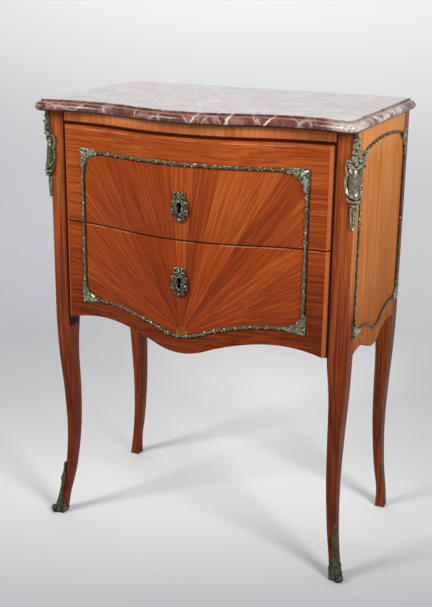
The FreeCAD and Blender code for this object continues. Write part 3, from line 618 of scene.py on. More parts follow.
def marbleFinish():
    finish = Finish("redMarble", Coat_Roughness=0.13, Coat_IOR=1.6, Roughness=0.4, Specular_IOR_Level=0.25)
    x, y, z, tones = finish.x, finish.y, finish.z, marbleTones
    warp = finish.add("ShaderNodeTexNoise", out=1, Vector=finish.here, Scale=14.0, Detail=4.0)
    shift = finish.add("ShaderNodeVectorMath", {"operation": "SCALE"}, _0=warp, Scale=0.045)
    where = finish.add("ShaderNodeVectorMath", {"operation": "ADD"}, _0=finish.here, _1=shift)
    clouds = finish.speckle(30, 6, 0.6, where)
    specks = finish.speckle(210, 4, 0.6, where)
    patches = finish.speckle(85, 3, 0.5, where)
    reddened = finish.between(specks * 0.4 + clouds * 0.6, 0.42, 0.58)
    stone = finish.mixed(reddened, tones["brown"], tones["red"])
    fleck = finish.between(specks * 0.25 + patches * 0.4 + clouds * 0.35, 0.50, 0.58)
    stone = finish.mixed(fleck * 0.56, stone, tones["rose"])
    thin = finish.between(finish.cracks(60, where), 0, 0.06, 0.5, 0) * finish.between(clouds, 0.48, 0.62)
    thick = finish.between(finish.cracks(21, where), 0, 0.058, 0.85, 0)
    thick = thick * finish.between(specks * 0.3 + clouds * 0.7, 0.41, 0.50)
    stone = finish.mixed(finish.most(thin, thick), stone, tones["grey"])
    gap = finish.add("ShaderNodeVectorMath", {"operation": "DISTANCE"}, out=1, _0=where, _1=tones["creamAt"])
    cream = finish.between(gap, 0.022, 0.050, 1, 0) * finish.between(specks, 0.36, 0.56, 0.35, 1)
    stone = finish.mixed(cream, stone, tones["cream"])
    away = finish.between(y, -0.11, -0.04) * finish.between(y, 0.08, 0.15, 1, 0)
    away = away * finish.between(abs(x), 0.270, 0.284)  # the ends of the slab only
    stone = finish.mixed(away * finish.between(patches, 0.42, 0.56, 0.05, 0.80), stone, tones["vein"])
    drift = finish.between(clouds * 0.7 + patches * 0.3, 0.40, 0.60, 0.52, 0.74)
    paintedLight = finish.mixed(drift, stone, tones["pale"])  # painted reflection that pales the table top
    seam = finish.between(finish.cracks(8, where), 0, 0.024, 0.70, 0)
    paintedLight = finish.mixed(seam * finish.between(specks * 0.4 + clouds * 0.6, 0.42, 0.54), paintedLight, tones["vein"])
    bend = (clouds - 0.5) * 0.016 + (specks - 0.5) * 0.012
    for place, lean, half in tones["bold"]:
        off = abs(x + bend - place - (z - 0.79) * lean)
        bold = finish.between(off, half * 0.4, half * 1.4, 0.95, 0) * (y < -0.10)
        stone = finish.mixed(bold, stone, tones["vein"])
    tilt = finish.facing("Z")
    lipFoot = marbleHigh.z - slab["lip"] + 0.0002
    # painted shade on the lip's upright face
    stone = finish.mixed(finish.between(tilt, 0.40, 0.75, 0.55, 0) * (z > lipFoot), stone, tones["brown"])
    # painted light on the upward face of the nose
    stone = finish.mixed(finish.between(tilt, 0.78, 0.97, 0, 0.55) * (z < lipFoot), stone, tones["litLedge"])
    # painted shade under the nose
    stone = finish.mixed(finish.between(tilt, -0.75, -0.25, 0.95, 0), stone, tones["under"])
    table = finish.between(z, marbleHigh.z - 0.0015, marbleHigh.z - 0.0005)
    table = table * finish.between(tilt, 0.97, 0.999)
    finish.feed(Base_Color=finish.mixed(table, stone, paintedLight))
    finish.feed(Coat_Weight=finish.between(table, 0, 1, 0.30, 0.80))
    return finish.material


bronzeTones = {  # each ramp goes from the dirt in the hollows to the rubbed edges
    "metal": [
        (0.0, (0.014, 0.014, 0.009)),
        (0.30, (0.040, 0.040, 0.026)),
        (0.58, (0.122, 0.112, 0.060)),
        (0.84, (0.290, 0.272, 0.165)),
        (1.0, (0.540, 0.520, 0.390)),
    ],
    "verdigris": [
        (0.0, (0.008, 0.012, 0.009)),
        (0.30, (0.026, 0.044, 0.034)),
        (0.58, (0.098, 0.126, 0.090)),
        (0.84, (0.250, 0.290, 0.208)),
        (1.0, (0.530, 0.550, 0.425)),
    ],
    "brown": (0.046, 0.034, 0.018),
}
bronzeZones = {  # where the mounts differ, metres from the middle or the floor
    "feet": (0.11, 0.20),
    "upperCorners": (0.655, 0.680),
    "lowerCorners": (0.445, 0.470),
    "cornerOut": (0.165, 0.185),
    "fronts": 0.24,
    "escutcheons": 0.03,
    "chutesOut": 0.245,
    "chutesFoot": 0.62,
    "sideFrames": -0.098,
    "spraysOut": (0.092, 0.106),
    "sprays": (0.472, 0.705),  # below the one, above the other
}


def bronzeFinish():
    finish = Finish("patinatedBronze", Metallic=0.65)
    x, y, z, out, zones = finish.x, finish.y, finish.z, abs(finish.x), bronzeZones
    rub = finish.add("ShaderNodeNewGeometry", out="Pointiness")
    clear = finish.add("ShaderNodeAmbientOcclusion", {"samples": 6}, out=1, Distance=0.006)
    cloud = finish.speckle(260, 3)
    onFront = out < zones["fronts"]
    beside = (out > sideFace) * (y > zones["sideFrames"])
    foot = finish.between(z, *zones["feet"], 1, 0)
    corner = finish.between(z, *zones["lowerCorners"], 1, 0) * (z > 0.3)
    corner = corner + finish.between(z, *zones["upperCorners"])
    corner = corner * finish.between(out, *zones["cornerOut"], 0.10, 1) * onFront
    chute = (out > zones["chutesOut"]) * (z > zones["chutesFoot"]) * (1 - beside)
    spray = finish.most(z > zones["sprays"][1], z < zones["sprays"][0])
    spray = beside * spray * finish.between(abs(y - sideField["middle"]), *zones["spraysOut"])
    darkening = 0.40 + foot * 0.27 + onFront * (1 - corner) * 0.06  # the feet are the darkest
    # painted light: the chutes are lightened, the right one more than the left
    darkening = darkening - chute * finish.between(x, -0.1, 0.1, 0.04, 0.20)
    spots = finish.between(finish.speckle(240), 0.36, 0.64, -0.22, 0.22)
    spots = spots * (0.60 + corner * 0.35 + foot * 0.15)
    bright = finish.between(rub, 0.46, 0.60, 0, 0.44) + finish.between(clear, 0.30, 0.95, 0, 0.56)
    wearAndPaintedLight = bright + cloud * 0.28 + spots + 0.05 - darkening
    wearAndPaintedLight = wearAndPaintedLight + (out < zones["escutcheons"]) * (wearAndPaintedLight * 0.5 - 0.34) + spray * 0.14
    green = finish.most(corner, spray * 0.7) * finish.between(finish.speckle(90), 0.36, 0.52)
    brown = finish.most(beside * 0.45 - spray * 0.40, foot * 0.12)
    metal, verdigris = [finish.ramp(wearAndPaintedLight, bronzeTones[tones]) for tones in ("metal", "verdigris")]
    finish.feed(Base_Color=finish.mixed(brown, finish.mixed(green, metal, verdigris), bronzeTones["brown"]))
    finish.feed(Roughness=finish.between(wearAndPaintedLight, 0.1, 0.9, 0.60, 0.30))
    finish.bump(cloud, 0.0003, 0.5)
    return finish.material


def ironFinish():
    finish = Finish("filedIron", Metallic=0.9)
    scratch = finish.noise(finish.x * 90, finish.y * 500, finish.z * 700, detail=3)
    rust = finish.between(finish.speckle(120, 4), 0.5, 0.7)
    steel = finish.ramp(scratch, [(0.2, (0.08, 0.078, 0.075)), (0.8, (0.19, 0.185, 0.18))])
    finish.feed(Base_Color=finish.mixed(rust * 0.6, steel, (0.075, 0.032, 0.016)))
    finish.feed(Roughness=finish.between(rust, 0, 1, 0.38, 0.75))
    finish.bump(scratch, 0.0002, 0.4)
    return finish.material


def sweepFinish():  # painted light: paler up the wall and in a patch behind the chest; painted shade: greyer close by
    finish = Finish("paleSweep", Roughness=0.9, Specular_IOR_Level=0.1)
    # painted light, paler up the wall
    rise = finish.between(finish.z, 0.20, 0.98) + finish.speckle(3) * 0.02
    dx, dy = finish.x + 0.12, finish.y - 0.35
    # painted light on the floor behind the chest
    paintedLightPool = finish.between(finish.root(dx * dx + dy * dy), 0.05, 0.95, 0.82, 0) + rise
    ahead = finish.y * 0.91 - finish.x * 0.41
    # painted shade on the floor close to the front
    near = finish.between(ahead, -0.40, 0.10, 1, 0) * finish.between(finish.x, -0.15, 0.10, 0.62, 0.80)
    ground = finish.mixed(near, studio["floorColour"], studio["shadedNearColour"])
    finish.feed(Base_Color=finish.mixed(paintedLightPool, ground, studio["wallColour"]))
    behind = finish.add("ShaderNodeNewGeometry", out="Backfacing")
    clear = finish.add("ShaderNodeBsdfTransparent")
    front = Socket(finish, finish.shader.outputs[0])
    shown = finish.add("ShaderNodeMixShader", _0=behind, _1=front, _2=clear)  # open from behind
    finish.tree.links.new(shown.socket, finish.tree.nodes["Material Output"].inputs[0])
    return finish.material


finishes = {
    "front": frontVeneer(),
    "frieze": friezeVeneer(),
    "side": sideVeneer(),
    "leg": legVeneer(),
    "oakX": plainWood("oakAcross", "oak", "xzy", 0.6),
    "oakY": plainWood("oakDeep", "oak", "yxz", 0.6),
    "drawerX": plainWood("drawerOakAcross", "drawer", "xzy", 0.5),
    "drawerY": plainWood("drawerOakDeep", "drawer", "yzx", 0.5),
    "marble": marbleFinish(),
    "bronze": bronzeFinish(),
    "iron": ironFinish(),
}
print("finishes made:", len(finishes))


def paint(piece, finish):
    piece.data.materials.clear()
    piece.data.materials.append(finishes[finish])


# carcass and drawers: flat boards keep their solids, curved ones get a smooth copy

boardFinishes = [  # the first word that a node's name holds gives its finish
    ("drawer_side", "drawerY"),
    ("drawer_", "drawerX"),
    ("lock", "iron"),
    ("staple", "iron"),
    ("runner", "oakY"),
    ("guide", "oakY"),
    ("side_top", "oakY"),
    ("rail", "oakX"),
    ("board", "oakX"),
    ("back_panel", "oakX"),
    ("leg", "leg"),
    ("side_panel", "side"),
    ("marble", "marble"),
    ("", "bronze"),
]
smoothCopies = [  # node, name, finish, body, slot, width of the softened edges
    ("upper_drawer_front", "upperFront", "front", "upper_drawer", "front_veneer", 0.0012),
    ("lower_drawer_front", "lowerFront", "front", "lower_drawer", "front_veneer", 0.0012),
    ("front_top_rail", "frieze", "frieze", "carcass", "leg_veneer", 0.0005),
    ("side_panel_left", "sidePanel.left", "side", "carcass", "side_veneer", 0.0005),
    ("side_panel_right", "sidePanel.right", "side", "carcass", "side_veneer", 0.0005),
]


def smoothCopy(node, name, finish, body, slot, edge):
    piece = copied(nodes[node], name)
    openMesh(piece)
    bpy.ops.mesh.customdata_custom_splitnormals_clear()
    bpy.ops.mesh.remove_doubles(threshold=1e-6)
    bpy.ops.mesh.dissolve_limited(angle_limit=math.radians(0.4))
    closeMesh()
    softener = piece.modifiers.new("softEdge", "BEVEL")
    softener.width = edge
    softener.segments = 3
    softener.limit_method = "ANGLE"
    softener.angle_limit = math.radians(28)
    bpy.ops.object.modifier_apply(modifier=softener.name)
    smoothed(piece, 35)
    paint(piece, finish)
    mounted(piece, body, slot, node)


def dressBoards():
    for node, piece in nodes.items():
        paint(piece, next(finish for word, finish in boardFinishes if word in node))
    for row in smoothCopies:
        smoothCopy(*row)
    print("boards dressed")


# legs

legShape = {
    "size": 0.034,
    "ankle": 0.015,
    "knee": 0.405,
    "foot": 0.09,  # flare of the foot, as a share of the post
    "rounding": {"front": 0.009, "back": 0.004},
    "waist": {"front": 0.0105, "back": 0.009},
    "kick": {"front": 0.009, "back": 0.004},
    "steps": 30,
    "curve": [  # shares of the knee's height, of the waist's inset, of the growth in width and in depth
        (1.00, 0.00, 1.00, 1.00),
        (0.82, 0.24, 0.60, 0.96),
        (0.62, 0.76, 0.34, 0.82),
        (0.42, 1.00, 0.16, 0.58),
        (0.22, 0.62, 0.03, 0.32),
    ],
    "ankleDepth": 0.14,
    "kickShare": (0.09, 0.16),  # where the foot starts to turn out, and by how much
}
frontArris = sideLow.y - legShape["size"]  # the front posts' face


def legRows(where):  # height, inset, width, depth, from the knee down
    ankle = legShape["ankle"]
    growth = legShape["size"] - ankle
    knee, kick = legShape["knee"], legShape["kick"][where]
    rows = [
        (share * knee, inset * legShape["waist"][where], ankle + width * growth, ankle + depth * growth)
        for share, inset, width, depth in legShape["curve"]
    ]
    turnAt, turned = legShape["kickShare"]
    deep = ankle + legShape["ankleDepth"] * growth
    flare = legShape["foot"] * legShape["size"]
    rows.append((turnAt * knee, -turned * kick, ankle, deep))
    rows.append((0.0, -kick, ankle + flare, deep + flare))
    return rows


def legAt(rows, height):  # inset, width and depth at a height, eased through the rows
    if height >= rows[0][0]:
        return rows[0][1:]
    for index in range(len(rows) - 1):
        high, low = rows[index], rows[index + 1]
        if low[0] <= height <= high[0]:
            before = rows[index - 1] if index else (2 * high[0] - low[0], *high[1:])
            after = rows[index + 2] if index + 2 < len(rows) else low
            span = high[0] - low[0]
            t = (high[0] - height) / span
            found = []
            for axis in (1, 2, 3):
                into = (low[axis] - before[axis]) / (before[0] - low[0]) * span
                out = (after[axis] - high[axis]) / max(high[0] - after[0], 1e-6) * span
                start = high[axis] * (2 * t**3 - 3 * t**2 + 1) + into * (t**3 - 2 * t**2 + t)
                end = low[axis] * (3 * t**2 - 2 * t**3) + out * (t**3 - t**2)
                found.append(start + end)
            return found
    return rows[-1][1:]


def makeLeg(where, name):  # a post, drawn down section by section to the foot
    rows = legRows(where)
    size = legShape["size"]
    inward, follow = (1, 1) if where == "front" else (-1, 0)
    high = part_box(f"leg_{where}_right")[1]
    face = frontArris if where == "front" else high.y
    middle = (sideFace - size / 2, face + inward * size / 2, high.z)
    bpy.ops.mesh.primitive_plane_add(size=size, location=middle)
    leg = newest(name)
    settle(leg)
    openMesh(leg)
    choose(leg, "VERT", lambda spot: spot.x > sideFace - 0.001 and abs(spot.y - face) < 0.001)
    bpy.ops.mesh.bevel(offset=legShape["rounding"][where], segments=7, affect="VERTICES")
    choose(leg, "VERT", lambda spot: spot.x < sideFace - size + 0.001)
    bpy.ops.mesh.bevel(offset=0.0012, segments=2, affect="VERTICES")
    bpy.ops.mesh.select_mode(type="FACE")
    bpy.ops.mesh.select_all(action="SELECT")
    inset, width, depth, height = 0.0, size, size, high.z
    for step in range(legShape["steps"] + 1):
        nextHeight = legShape["knee"] * (1 - step / legShape["steps"])
        nextInset, nextWidth, nextDepth = legAt(rows, nextHeight)
        bpy.ops.mesh.extrude_region_move(TRANSFORM_OT_translate={"value": (0, 0, nextHeight - height)})
        pivot = (sideFace - inset, face + follow * inset, nextHeight)
        grow = (nextWidth / width, nextDepth / depth, 1)
        bpy.ops.transform.resize(value=grow, center_override=pivot)
        shift = nextInset - inset
        bpy.ops.transform.translate(value=(-shift, follow * shift, 0))
        inset, width, depth, height = nextInset, nextWidth, nextDepth, nextHeight
    closeMesh()
    cleanMesh(leg)
    smoothed(leg, 40)
    paint(leg, "leg")
    return leg


def makeLegs():
    for where in ("front", "back"):
        right = makeLeg(where, f"leg.{where}.right")
        left = twin(right, f"leg.{where}.left")
        smoothed(left, 40)
        mounted(right, "carcass", "leg_veneer", f"leg_{where}_right")
        mounted(left, "carcass", "leg_veneer", f"leg_{where}_left")
    print("legs made")


# marble top

def bowRadius(spread, depth):
    return (spread * spread + depth * depth) / (4 * depth)


def bowedLine(x, face, spread, depth):  # a bow between two hollows of one radius
    radius = bowRadius(spread, depth)
    if abs(x) < spread / 2:
        return face + radius - math.sqrt(radius * radius - x * x)
    return face + depth - radius + math.sqrt(radius * radius - (abs(x) - spread) ** 2)


def slabOutline(height):  # the bowed front, rounded corners and straight ends
    half, valley, corner = marbleHigh.x, slab["valley"], slab["corner"]
    radius = bowRadius(valley, slab["bow"])
    span = radius + corner
    reach = half - corner - valley
    centreY = marbleLow.y + slab["bow"] - radius
    shoulder = centreY + math.sqrt(span * span - reach * reach)
    limit = valley + reach * radius / span
    start = math.atan2(centreY - shoulder, valley - (half - corner))
    count = slab["frontPoints"]
    front = [-limit + 2 * limit * step / (count - 1) for step in range(count)]
    outline = [(x, bowedLine(x, marbleLow.y, valley, slab["bow"])) for x in front]
    right = []
    for step in range(1, slab["cornerPoints"] + 1):
        angle = start - start * step / slab["cornerPoints"]
        right.append((half - corner * (1 - math.cos(angle)), shoulder + corner * math.sin(angle)))
    right.append((half, marbleHigh.y + 0.03))  # trimmed off flat at the back
    left = [(-x, y) for x, y in reversed(right)]
    return [Vector((x, y, height)) for x, y in outline + right + left]


def stepIn(profile):  # insets the chosen face through (inwards, along its normal) places
    inwards, along = 0.0, 0.0
    for nextIn, nextAlong in profile:
        inset = max(nextIn - inwards, 1e-5)
        bpy.ops.mesh.inset(thickness=inset, depth=nextAlong - along, use_even_offset=True)
        inwards, along = nextIn, nextAlong


def quarterRound(out, up, steps):
    turns = [math.pi / 2 * step / steps for step in range(1, steps + 1)]
    return [(out * (1 - math.cos(turn)), up * math.sin(turn)) for turn in turns]


def slabHalf(upward, height, profile):  # from the slab's widest line up or down
    outline = slabOutline(height)
    bpy.ops.mesh.primitive_circle_add(vertices=len(outline), radius=0.1, fill_type="NGON")
    half = newest("marbleHalf")
    for vertex, place in zip(half.data.vertices, outline):
        vertex.co = place
    openMesh(half)
    bpy.ops.mesh.normals_make_consistent(inside=False)
    bpy.ops.mesh.select_mode(type="FACE")
    closeMesh()
    facesUp = half.data.polygons[0].normal.z > 0
    openMesh(half)
    if facesUp != upward:
        bpy.ops.mesh.flip_normals()
    stepIn(profile + [(profile[-1][0] + 0.0008, profile[-1][1])])
    closeMesh()
    return half


def makeMarble():
    widest = marbleHigh.z - slab["lip"] - slab["noseUp"]
    lipFoot, lipRound = slab["noseOut"] + 0.0005, slab["lipRound"]
    flat = slab["noseUp"] + slab["lip"] - lipRound
    nose = quarterRound(slab["noseOut"], slab["noseUp"], slab["noseSteps"])
    lip = [(slab["noseOut"] + 0.0004, slab["noseUp"]), (lipFoot, flat)]
    lip += [(lipFoot + inward, flat + up) for inward, up in quarterRound(lipRound, lipRound, 4)]
    under = quarterRound(slab["undercut"], widest - marbleLow.z, slab["noseSteps"])
    pick(slabHalf(True, widest, nose + lip), slabHalf(False, widest, under))
    bpy.ops.object.join()
    marble = newest("marbleTop")
    cleanMesh(marble, 1e-5)
    openMesh(marble)
    bpy.ops.mesh.bisect(plane_co=(0, marbleHigh.y, 0), plane_no=(0, 1, 0), use_fill=True, clear_outer=True)
    closeMesh()
    smoothed(marble, 35)
    paint(marble, "marble")
    mounted(marble, "carcass", "marble", "marble_top")
    print("marble made")


# bronze, modelled flat: x across, z up, minus y out of the wood, then laid on the chest

def wire(points, radii, sides=1, flat=1.0):  # round wire of one radius, or of one for each point
    if isinstance(radii, float):
        radii = [radii] * len(points)
    bpy.ops.curve.primitive_nurbs_path_add(location=(0, 0, 0))
    piece = newest("wire")
    spline = piece.data.splines[0]
    spline.points.add(max(len(points) - len(spline.points), 0))
    for point, place, radius in zip(spline.points, points, radii):
        point.co = (*place, 1)
        point.radius = radius
    spline.order_u = 3
    spline.use_endpoint_u = True
    spline.resolution_u = 2
    piece.data.bevel_depth = 1.0
    piece.data.bevel_resolution = sides
    piece.data.use_fill_caps = True
    bpy.ops.object.convert(target="MESH")
    if flat != 1.0:
        openMesh(piece)
        bpy.ops.transform.resize(value=(1, flat, 1), center_override=(0, 0, 0))
        closeMesh()
    return piece


def leaf(rows, sides=4):  # grown up z through (along, lift, half width, half thickness)
    along, lift, width, thick = rows[0]
    bpy.ops.mesh.primitive_circle_add(vertices=sides, radius=1, fill_type="NGON", location=(0, -lift, along))
    piece = newest("leaf")
    settle(piece)
    openMesh(piece)
    bpy.ops.transform.resize(value=(width, thick, 1), center_override=(0, -lift, along))
    for before, row in zip(rows, rows[1:]):
        shift = (0, before[1] - row[1], row[0] - before[0])
        bpy.ops.mesh.extrude_region_move(TRANSFORM_OT_translate={"value": shift})
        grow = (row[2] / before[2], row[3] / before[3], 1)
        bpy.ops.transform.resize(value=grow, center_override=(0, -row[1], row[0]))
    closeMesh()
    cleanMesh(piece)
    return piece


def berry(radius):
    bpy.ops.mesh.primitive_uv_sphere_add(segments=8, ring_count=5, radius=radius)
    piece = newest("berry")
    openMesh(piece)
    bpy.ops.transform.resize(value=(1, 0.85, 1.1))
    closeMesh()
    return piece


def mirrored(half):  # a half outline, closed by its mirror image
    return half + [(-x, z) for x, z in reversed(half[1:-1])]


def plate(outline, steps, foot):  # a sheet of the outline's shape, raised by insets
    bpy.ops.mesh.primitive_circle_add(vertices=len(outline), radius=0.01, fill_type="NGON")
    piece = newest("plate")
    for vertex, (x, z) in zip(piece.data.vertices, outline):
        vertex.co = (x, 0, z)
    openMesh(piece)
    bpy.ops.mesh.select_mode(type="FACE")
    bpy.ops.mesh.extrude_region_move(TRANSFORM_OT_translate={"value": (0, -foot, 0)})
    inwards, up = 0.0, 0.0
    for nextIn, nextUp in steps:
        bpy.ops.mesh.inset(thickness=nextIn - inwards, depth=0, use_even_offset=True)
        bpy.ops.transform.translate(value=(0, up - nextUp, 0))
        inwards, up = nextIn, nextUp
    closeMesh()
    cleanMesh(piece)
    return piece


def bent(piece, cuts=9):  # cuts that let a plate bend round the arris
    openMesh(piece)
    for step in range(-cuts, cuts + 1):
        bpy.ops.mesh.select_all(action="SELECT")
        bpy.ops.mesh.bisect(plane_co=(step * 0.0012, 0, 0), plane_no=(1, 0, 0))
    closeMesh()
    return piece


def stamp(source, x, z, turn=0.0, size=1.0, out=0.0, mirror=False):  # a copy set down, turned clockwise
    copy = copied(source, source.name)
    place = Matrix.Translation((x, -out, z)) @ Matrix.Rotation(math.radians(turn), 4, "Y")
    place = place @ Matrix.Diagonal((-size if mirror else size, size, size, 1))
    copy.data.transform(place)
    return copy


def joined(name, pieces):
    pick(*pieces)
    bpy.ops.object.join()
    piece = newest(name)
    cleanMesh(piece, 1e-7)
    return piece


def dropped(*pieces):
    for piece in pieces:
        bpy.data.objects.remove(piece)


def combined(piece, tool, way, folded=False):  # joins or cuts with a tool, which is used up
    pick(piece)
    union = piece.modifiers.new("combined", "BOOLEAN")
    union.operation = way
    union.object = tool
    union.use_self = folded
    bpy.ops.object.modifier_apply(modifier=union.name)
    dropped(tool)


def paced(points, pitch):  # places a pitch apart along a line, with the way it runs there
    places, due = [], pitch / 2
    for (x, z), (nextX, nextZ) in zip(points, points[1:]):
        length = math.hypot(nextX - x, nextZ - z)
        turn = math.degrees(math.atan2(nextX - x, nextZ - z))
        while due <= length:
            share = due / length
            places.append((x + share * (nextX - x), z + share * (nextZ - z), turn))
            due += pitch
        due -= length
    return places


def eased(start, corner, end, cut, steps=8):  # a rounded corner
    corner = [c + cut * ((a + b) / 2 - c) for a, b, c in zip(start, end, corner)]
    places = []
    for step in range(steps + 1):
        t = step / steps
        x, z = [(1 - t) ** 2 * a + 2 * t * (1 - t) * b + t * t * c for a, b, c in zip(start, corner, end)]
        places.append((x, z))
    return places


drawerFace = {"face": -0.172, "spread": 0.247, "depth": 0.040}


def layOnFront(piece):  # bends a flat piece onto the bowed drawer fronts
    spread = drawerFace["spread"]
    radius = bowRadius(spread, drawerFace["depth"])
    for vertex in piece.data.vertices:
        x, out = vertex.co.x, -vertex.co.y
        past = x if abs(x) < spread / 2 else spread * math.copysign(1, x) - x
        slope = past / math.sqrt(radius * radius - past * past)
        away = Vector((slope, -1)).normalized() * out
        vertex.co.x = x + away.x
        vertex.co.y = bowedLine(x, **drawerFace) + away.y
    return piece


def layOnSide(piece):  # x becomes depth, the side's face the ground
    for vertex in piece.data.vertices:
        vertex.co = (sideFace - vertex.co.y, vertex.co.x, vertex.co.z)
    return piece


def layOnCorner(piece):  # bends a flat piece round the front right leg's arris
    rows = legRows("front")
    for vertex in piece.data.vertices:
        run, out, height = vertex.co.x, -vertex.co.y, vertex.co.z
        inset, width, depth = legAt(rows, height)
        radius = legShape["rounding"]["front"] * width / legShape["size"]
        bend = radius * math.pi / 4
        turn = max(-bend, min(bend, run)) / radius - math.pi / 4
        away = Vector((math.cos(turn), math.sin(turn)))
        spot = Vector((sideFace - inset - radius, frontArris + inset + radius)) + away * (radius + out)
        past = max(abs(run) - bend, 0)
        spot += Vector((0, past)) if run > 0 else Vector((-past, 0))
        vertex.co = (spot.x, spot.y, height)
    return piece


def finished(piece, body, node):
    cleanMesh(piece, 1e-7)
    smoothed(piece, 40)
    paint(piece, "bronze")
    mounted(piece, body, "bronze", node)


def finishedPair(right, name, node):  # a mount and its twin on the other side
    left = twin(right, f"{name}.left")
    finished(right, "carcass", f"{node}_right")
    finished(left, "carcass", f"{node}_left")


# leaves that several mounts share

leafRows = {  # along, lift, half width, half thickness
    "sprig": [
        (0.0000, 0.0012, 0.0004, 0.0004),
        (0.0020, 0.0020, 0.0013, 0.0007),
        (0.0045, 0.0024, 0.0015, 0.0007),
        (0.0070, 0.0020, 0.0002, 0.0002),
    ],
    "acanthus": [
        (0.0000, 0.0008, 0.0012, 0.0008),
        (0.0025, 0.0018, 0.0034, 0.0014),
        (0.0040, 0.0020, 0.0024, 0.0015),
        (0.0070, 0.0026, 0.0044, 0.0017),
        (0.0088, 0.0028, 0.0030, 0.0016),
        (0.0115, 0.0034, 0.0037, 0.0015),
        (0.0130, 0.0038, 0.0022, 0.0013),
        (0.0152, 0.0046, 0.0020, 0.0010),
        (0.0168, 0.0052, 0.0003, 0.0003),
    ],
}
sprigLeaf = leaf(leafRows["sprig"])
acanthus = leaf(leafRows["acanthus"])
smallBerry = berry(0.0016)


# moulding round the panels: a twisted stick with sprigs, and foliage in the corners

moulding = {
    "rod": 0.0017,
    "fillet": 0.0024,
    "twist": 0.0008,
    "twistPitch": 0.011,
    "sprigPitch": 0.0175,
    "sprigSpread": 20,
    "berryLean": 0.0016,
    "corner": 0.027,
    "cut": 0.6,  # how far the stick leaves the corner to the foliage
    "plate": 0.0011,
    "past": 0.004,  # the foliage's corner lies this far outside the stick
}
cornerFoliage = [  # x and z from the square corner, turn from upright, size
    (0.0145, -0.0145, -45, 1.05),
    (0.0110, -0.0070, 84, 1.10),
    (0.0070, -0.0110, -174, 1.10),
    (0.0205, -0.0045, 98, 0.85),
    (0.0045, -0.0205, 172, 0.85),
    (0.0145, -0.0110, 14, 0.60),
    (0.0110, -0.0145, -104, 0.60),
    (0.0160, -0.0125, 62, 0.62),
    (0.0125, -0.0160, -152, 0.62),
]
cornerBerries = [
    (0.0030, -0.0030), (0.0090, -0.0030), (0.0030, -0.0090), (0.0165, -0.0026),
    (0.0026, -0.0165), (0.0120, -0.0120), (0.0230, -0.0030), (0.0030, -0.0230),
]
cornerPlate = [
    (0, 0), (0.0300, -0.0010), (0.0300, -0.0052), (0.0235, -0.0080), (0.0170, -0.0125),
    (0.0125, -0.0170), (0.0080, -0.0235), (0.0052, -0.0300), (0.0010, -0.0300),
]


def twistedStick(points):  # a rod with a ribbon wound round it, sprigs and berries
    rod = moulding["rod"]
    line = [(x, -rod * 0.9, z) for x, z in points]
    ground = [(x, 0, z) for x, z in points]
    pieces = [wire(line, rod), wire(ground, moulding["fillet"], flat=0.16)]
    coil = []
    for x, z, turn in paced(points, moulding["twistPitch"] / 6):
        phase = len(coil) * math.tau / 6
        side = math.radians(turn)
        swing = math.cos(phase) * rod
        lift = rod * 0.9 + math.sin(phase) * rod
        coil.append((x + swing * math.cos(side), -max(lift, 0.0003), z - swing * math.sin(side)))
    pieces.append(wire(coil, moulding["twist"], sides=0))
    for index, (x, z, turn) in enumerate(paced(points, moulding["sprigPitch"])):
        for spread in (moulding["sprigSpread"], -moulding["sprigSpread"]):
            pieces.append(stamp(sprigLeaf, x, z, turn + spread))
        lean = moulding["berryLean"] if index % 2 else -moulding["berryLean"]
        side = math.radians(turn)
        beside, above = lean * math.cos(side), -lean * math.sin(side)
        pieces.append(stamp(smallBerry, x + beside, z + above, turn, out=0.0034))
    return pieces


def foliage(x, z, right, down, size, tilt):  # fills a corner of the frame
    pieces = [plate(cornerPlate, [(0.0006, 0.0004)], moulding["plate"])]
    for dx, dz, turn, scale in cornerFoliage:
        pieces.append(stamp(acanthus, dx, dz, turn, scale, 0.0004))
    for dx, dz in cornerBerries:
        pieces.append(stamp(smallBerry, dx, dz, 0, 1.1, 0.0024))
    bunch = joined("foliage", pieces)
    flip = Matrix.Diagonal((-size if right else size, 1, -size if down else size, 1))
    bunch.data.transform(Matrix.Translation((x, 0, z)) @ Matrix.Rotation(math.radians(tilt), 4, "Y") @ flip)
    return bunch


def lowerRun(field, run):  # height of a frame's lower run, a lobe between two crests
    run = abs(run)
    if run < field["lobeHalf"]:
        return field["lobeHeight"] - math.sqrt(field["lobeRadius"] ** 2 - run * run)
    return field["crestHeight"] + math.sqrt(field["crestRadius"] ** 2 - (run - field["crestAt"]) ** 2)


def sideArch(run):
    return sideField["archCentre"] + math.sqrt(sideField["archRadius"] ** 2 - run * run)


def bothHalves(line, middle):  # a left run, its last point in the middle and its mirror image
    return line + [middle] + [(-x, z) for x, z in reversed(line)]


def frontFrame(drawer, line, height, down, size, tilt):  # one drawer's run, foliage in its corners
    pieces = twistedStick(line)
    for side in (-1, 1):
        edge = side * (frontField["half"] + moulding["past"])
        pieces.append(foliage(edge, height, side > 0, down, size, side * tilt))
    finished(layOnFront(joined(f"{drawer}Frame", pieces)), f"{drawer}_drawer", f"{drawer}_frame")


def makeFrontFrames():
    half, top, turn, cut = frontField["half"], frontField["top"], moulding["corner"], moulding["cut"]
    start = turn - half  # where a corner ends and the run across begins
    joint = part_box("upper_frame")[0].z
    line = [(-half, joint), (-half, joint + 0.05)]
    line += eased((-half, top - turn), (-half, top), (start, top), cut)
    line += [(start - start * step / 12, top) for step in range(1, 12)]
    frontFrame("upper", bothHalves(line, (0, top)), top + moulding["past"], False, 1.1, 0)
    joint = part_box("lower_frame")[1].z
    low = lowerRun(frontField, half)
    line = [(-half, joint), (-half, joint - 0.04)]
    line += eased((-half, low + turn), (-half, low), (start, lowerRun(frontField, start)), cut)
    across = [start - start * step / 24 for step in range(1, 24)]
    line += [(x, lowerRun(frontField, x)) for x in across]
    frontFrame("lower", bothHalves(line, (0, lowerRun(frontField, 0))), low - 0.005, True, 1.12, 6)
    print("front frames made")


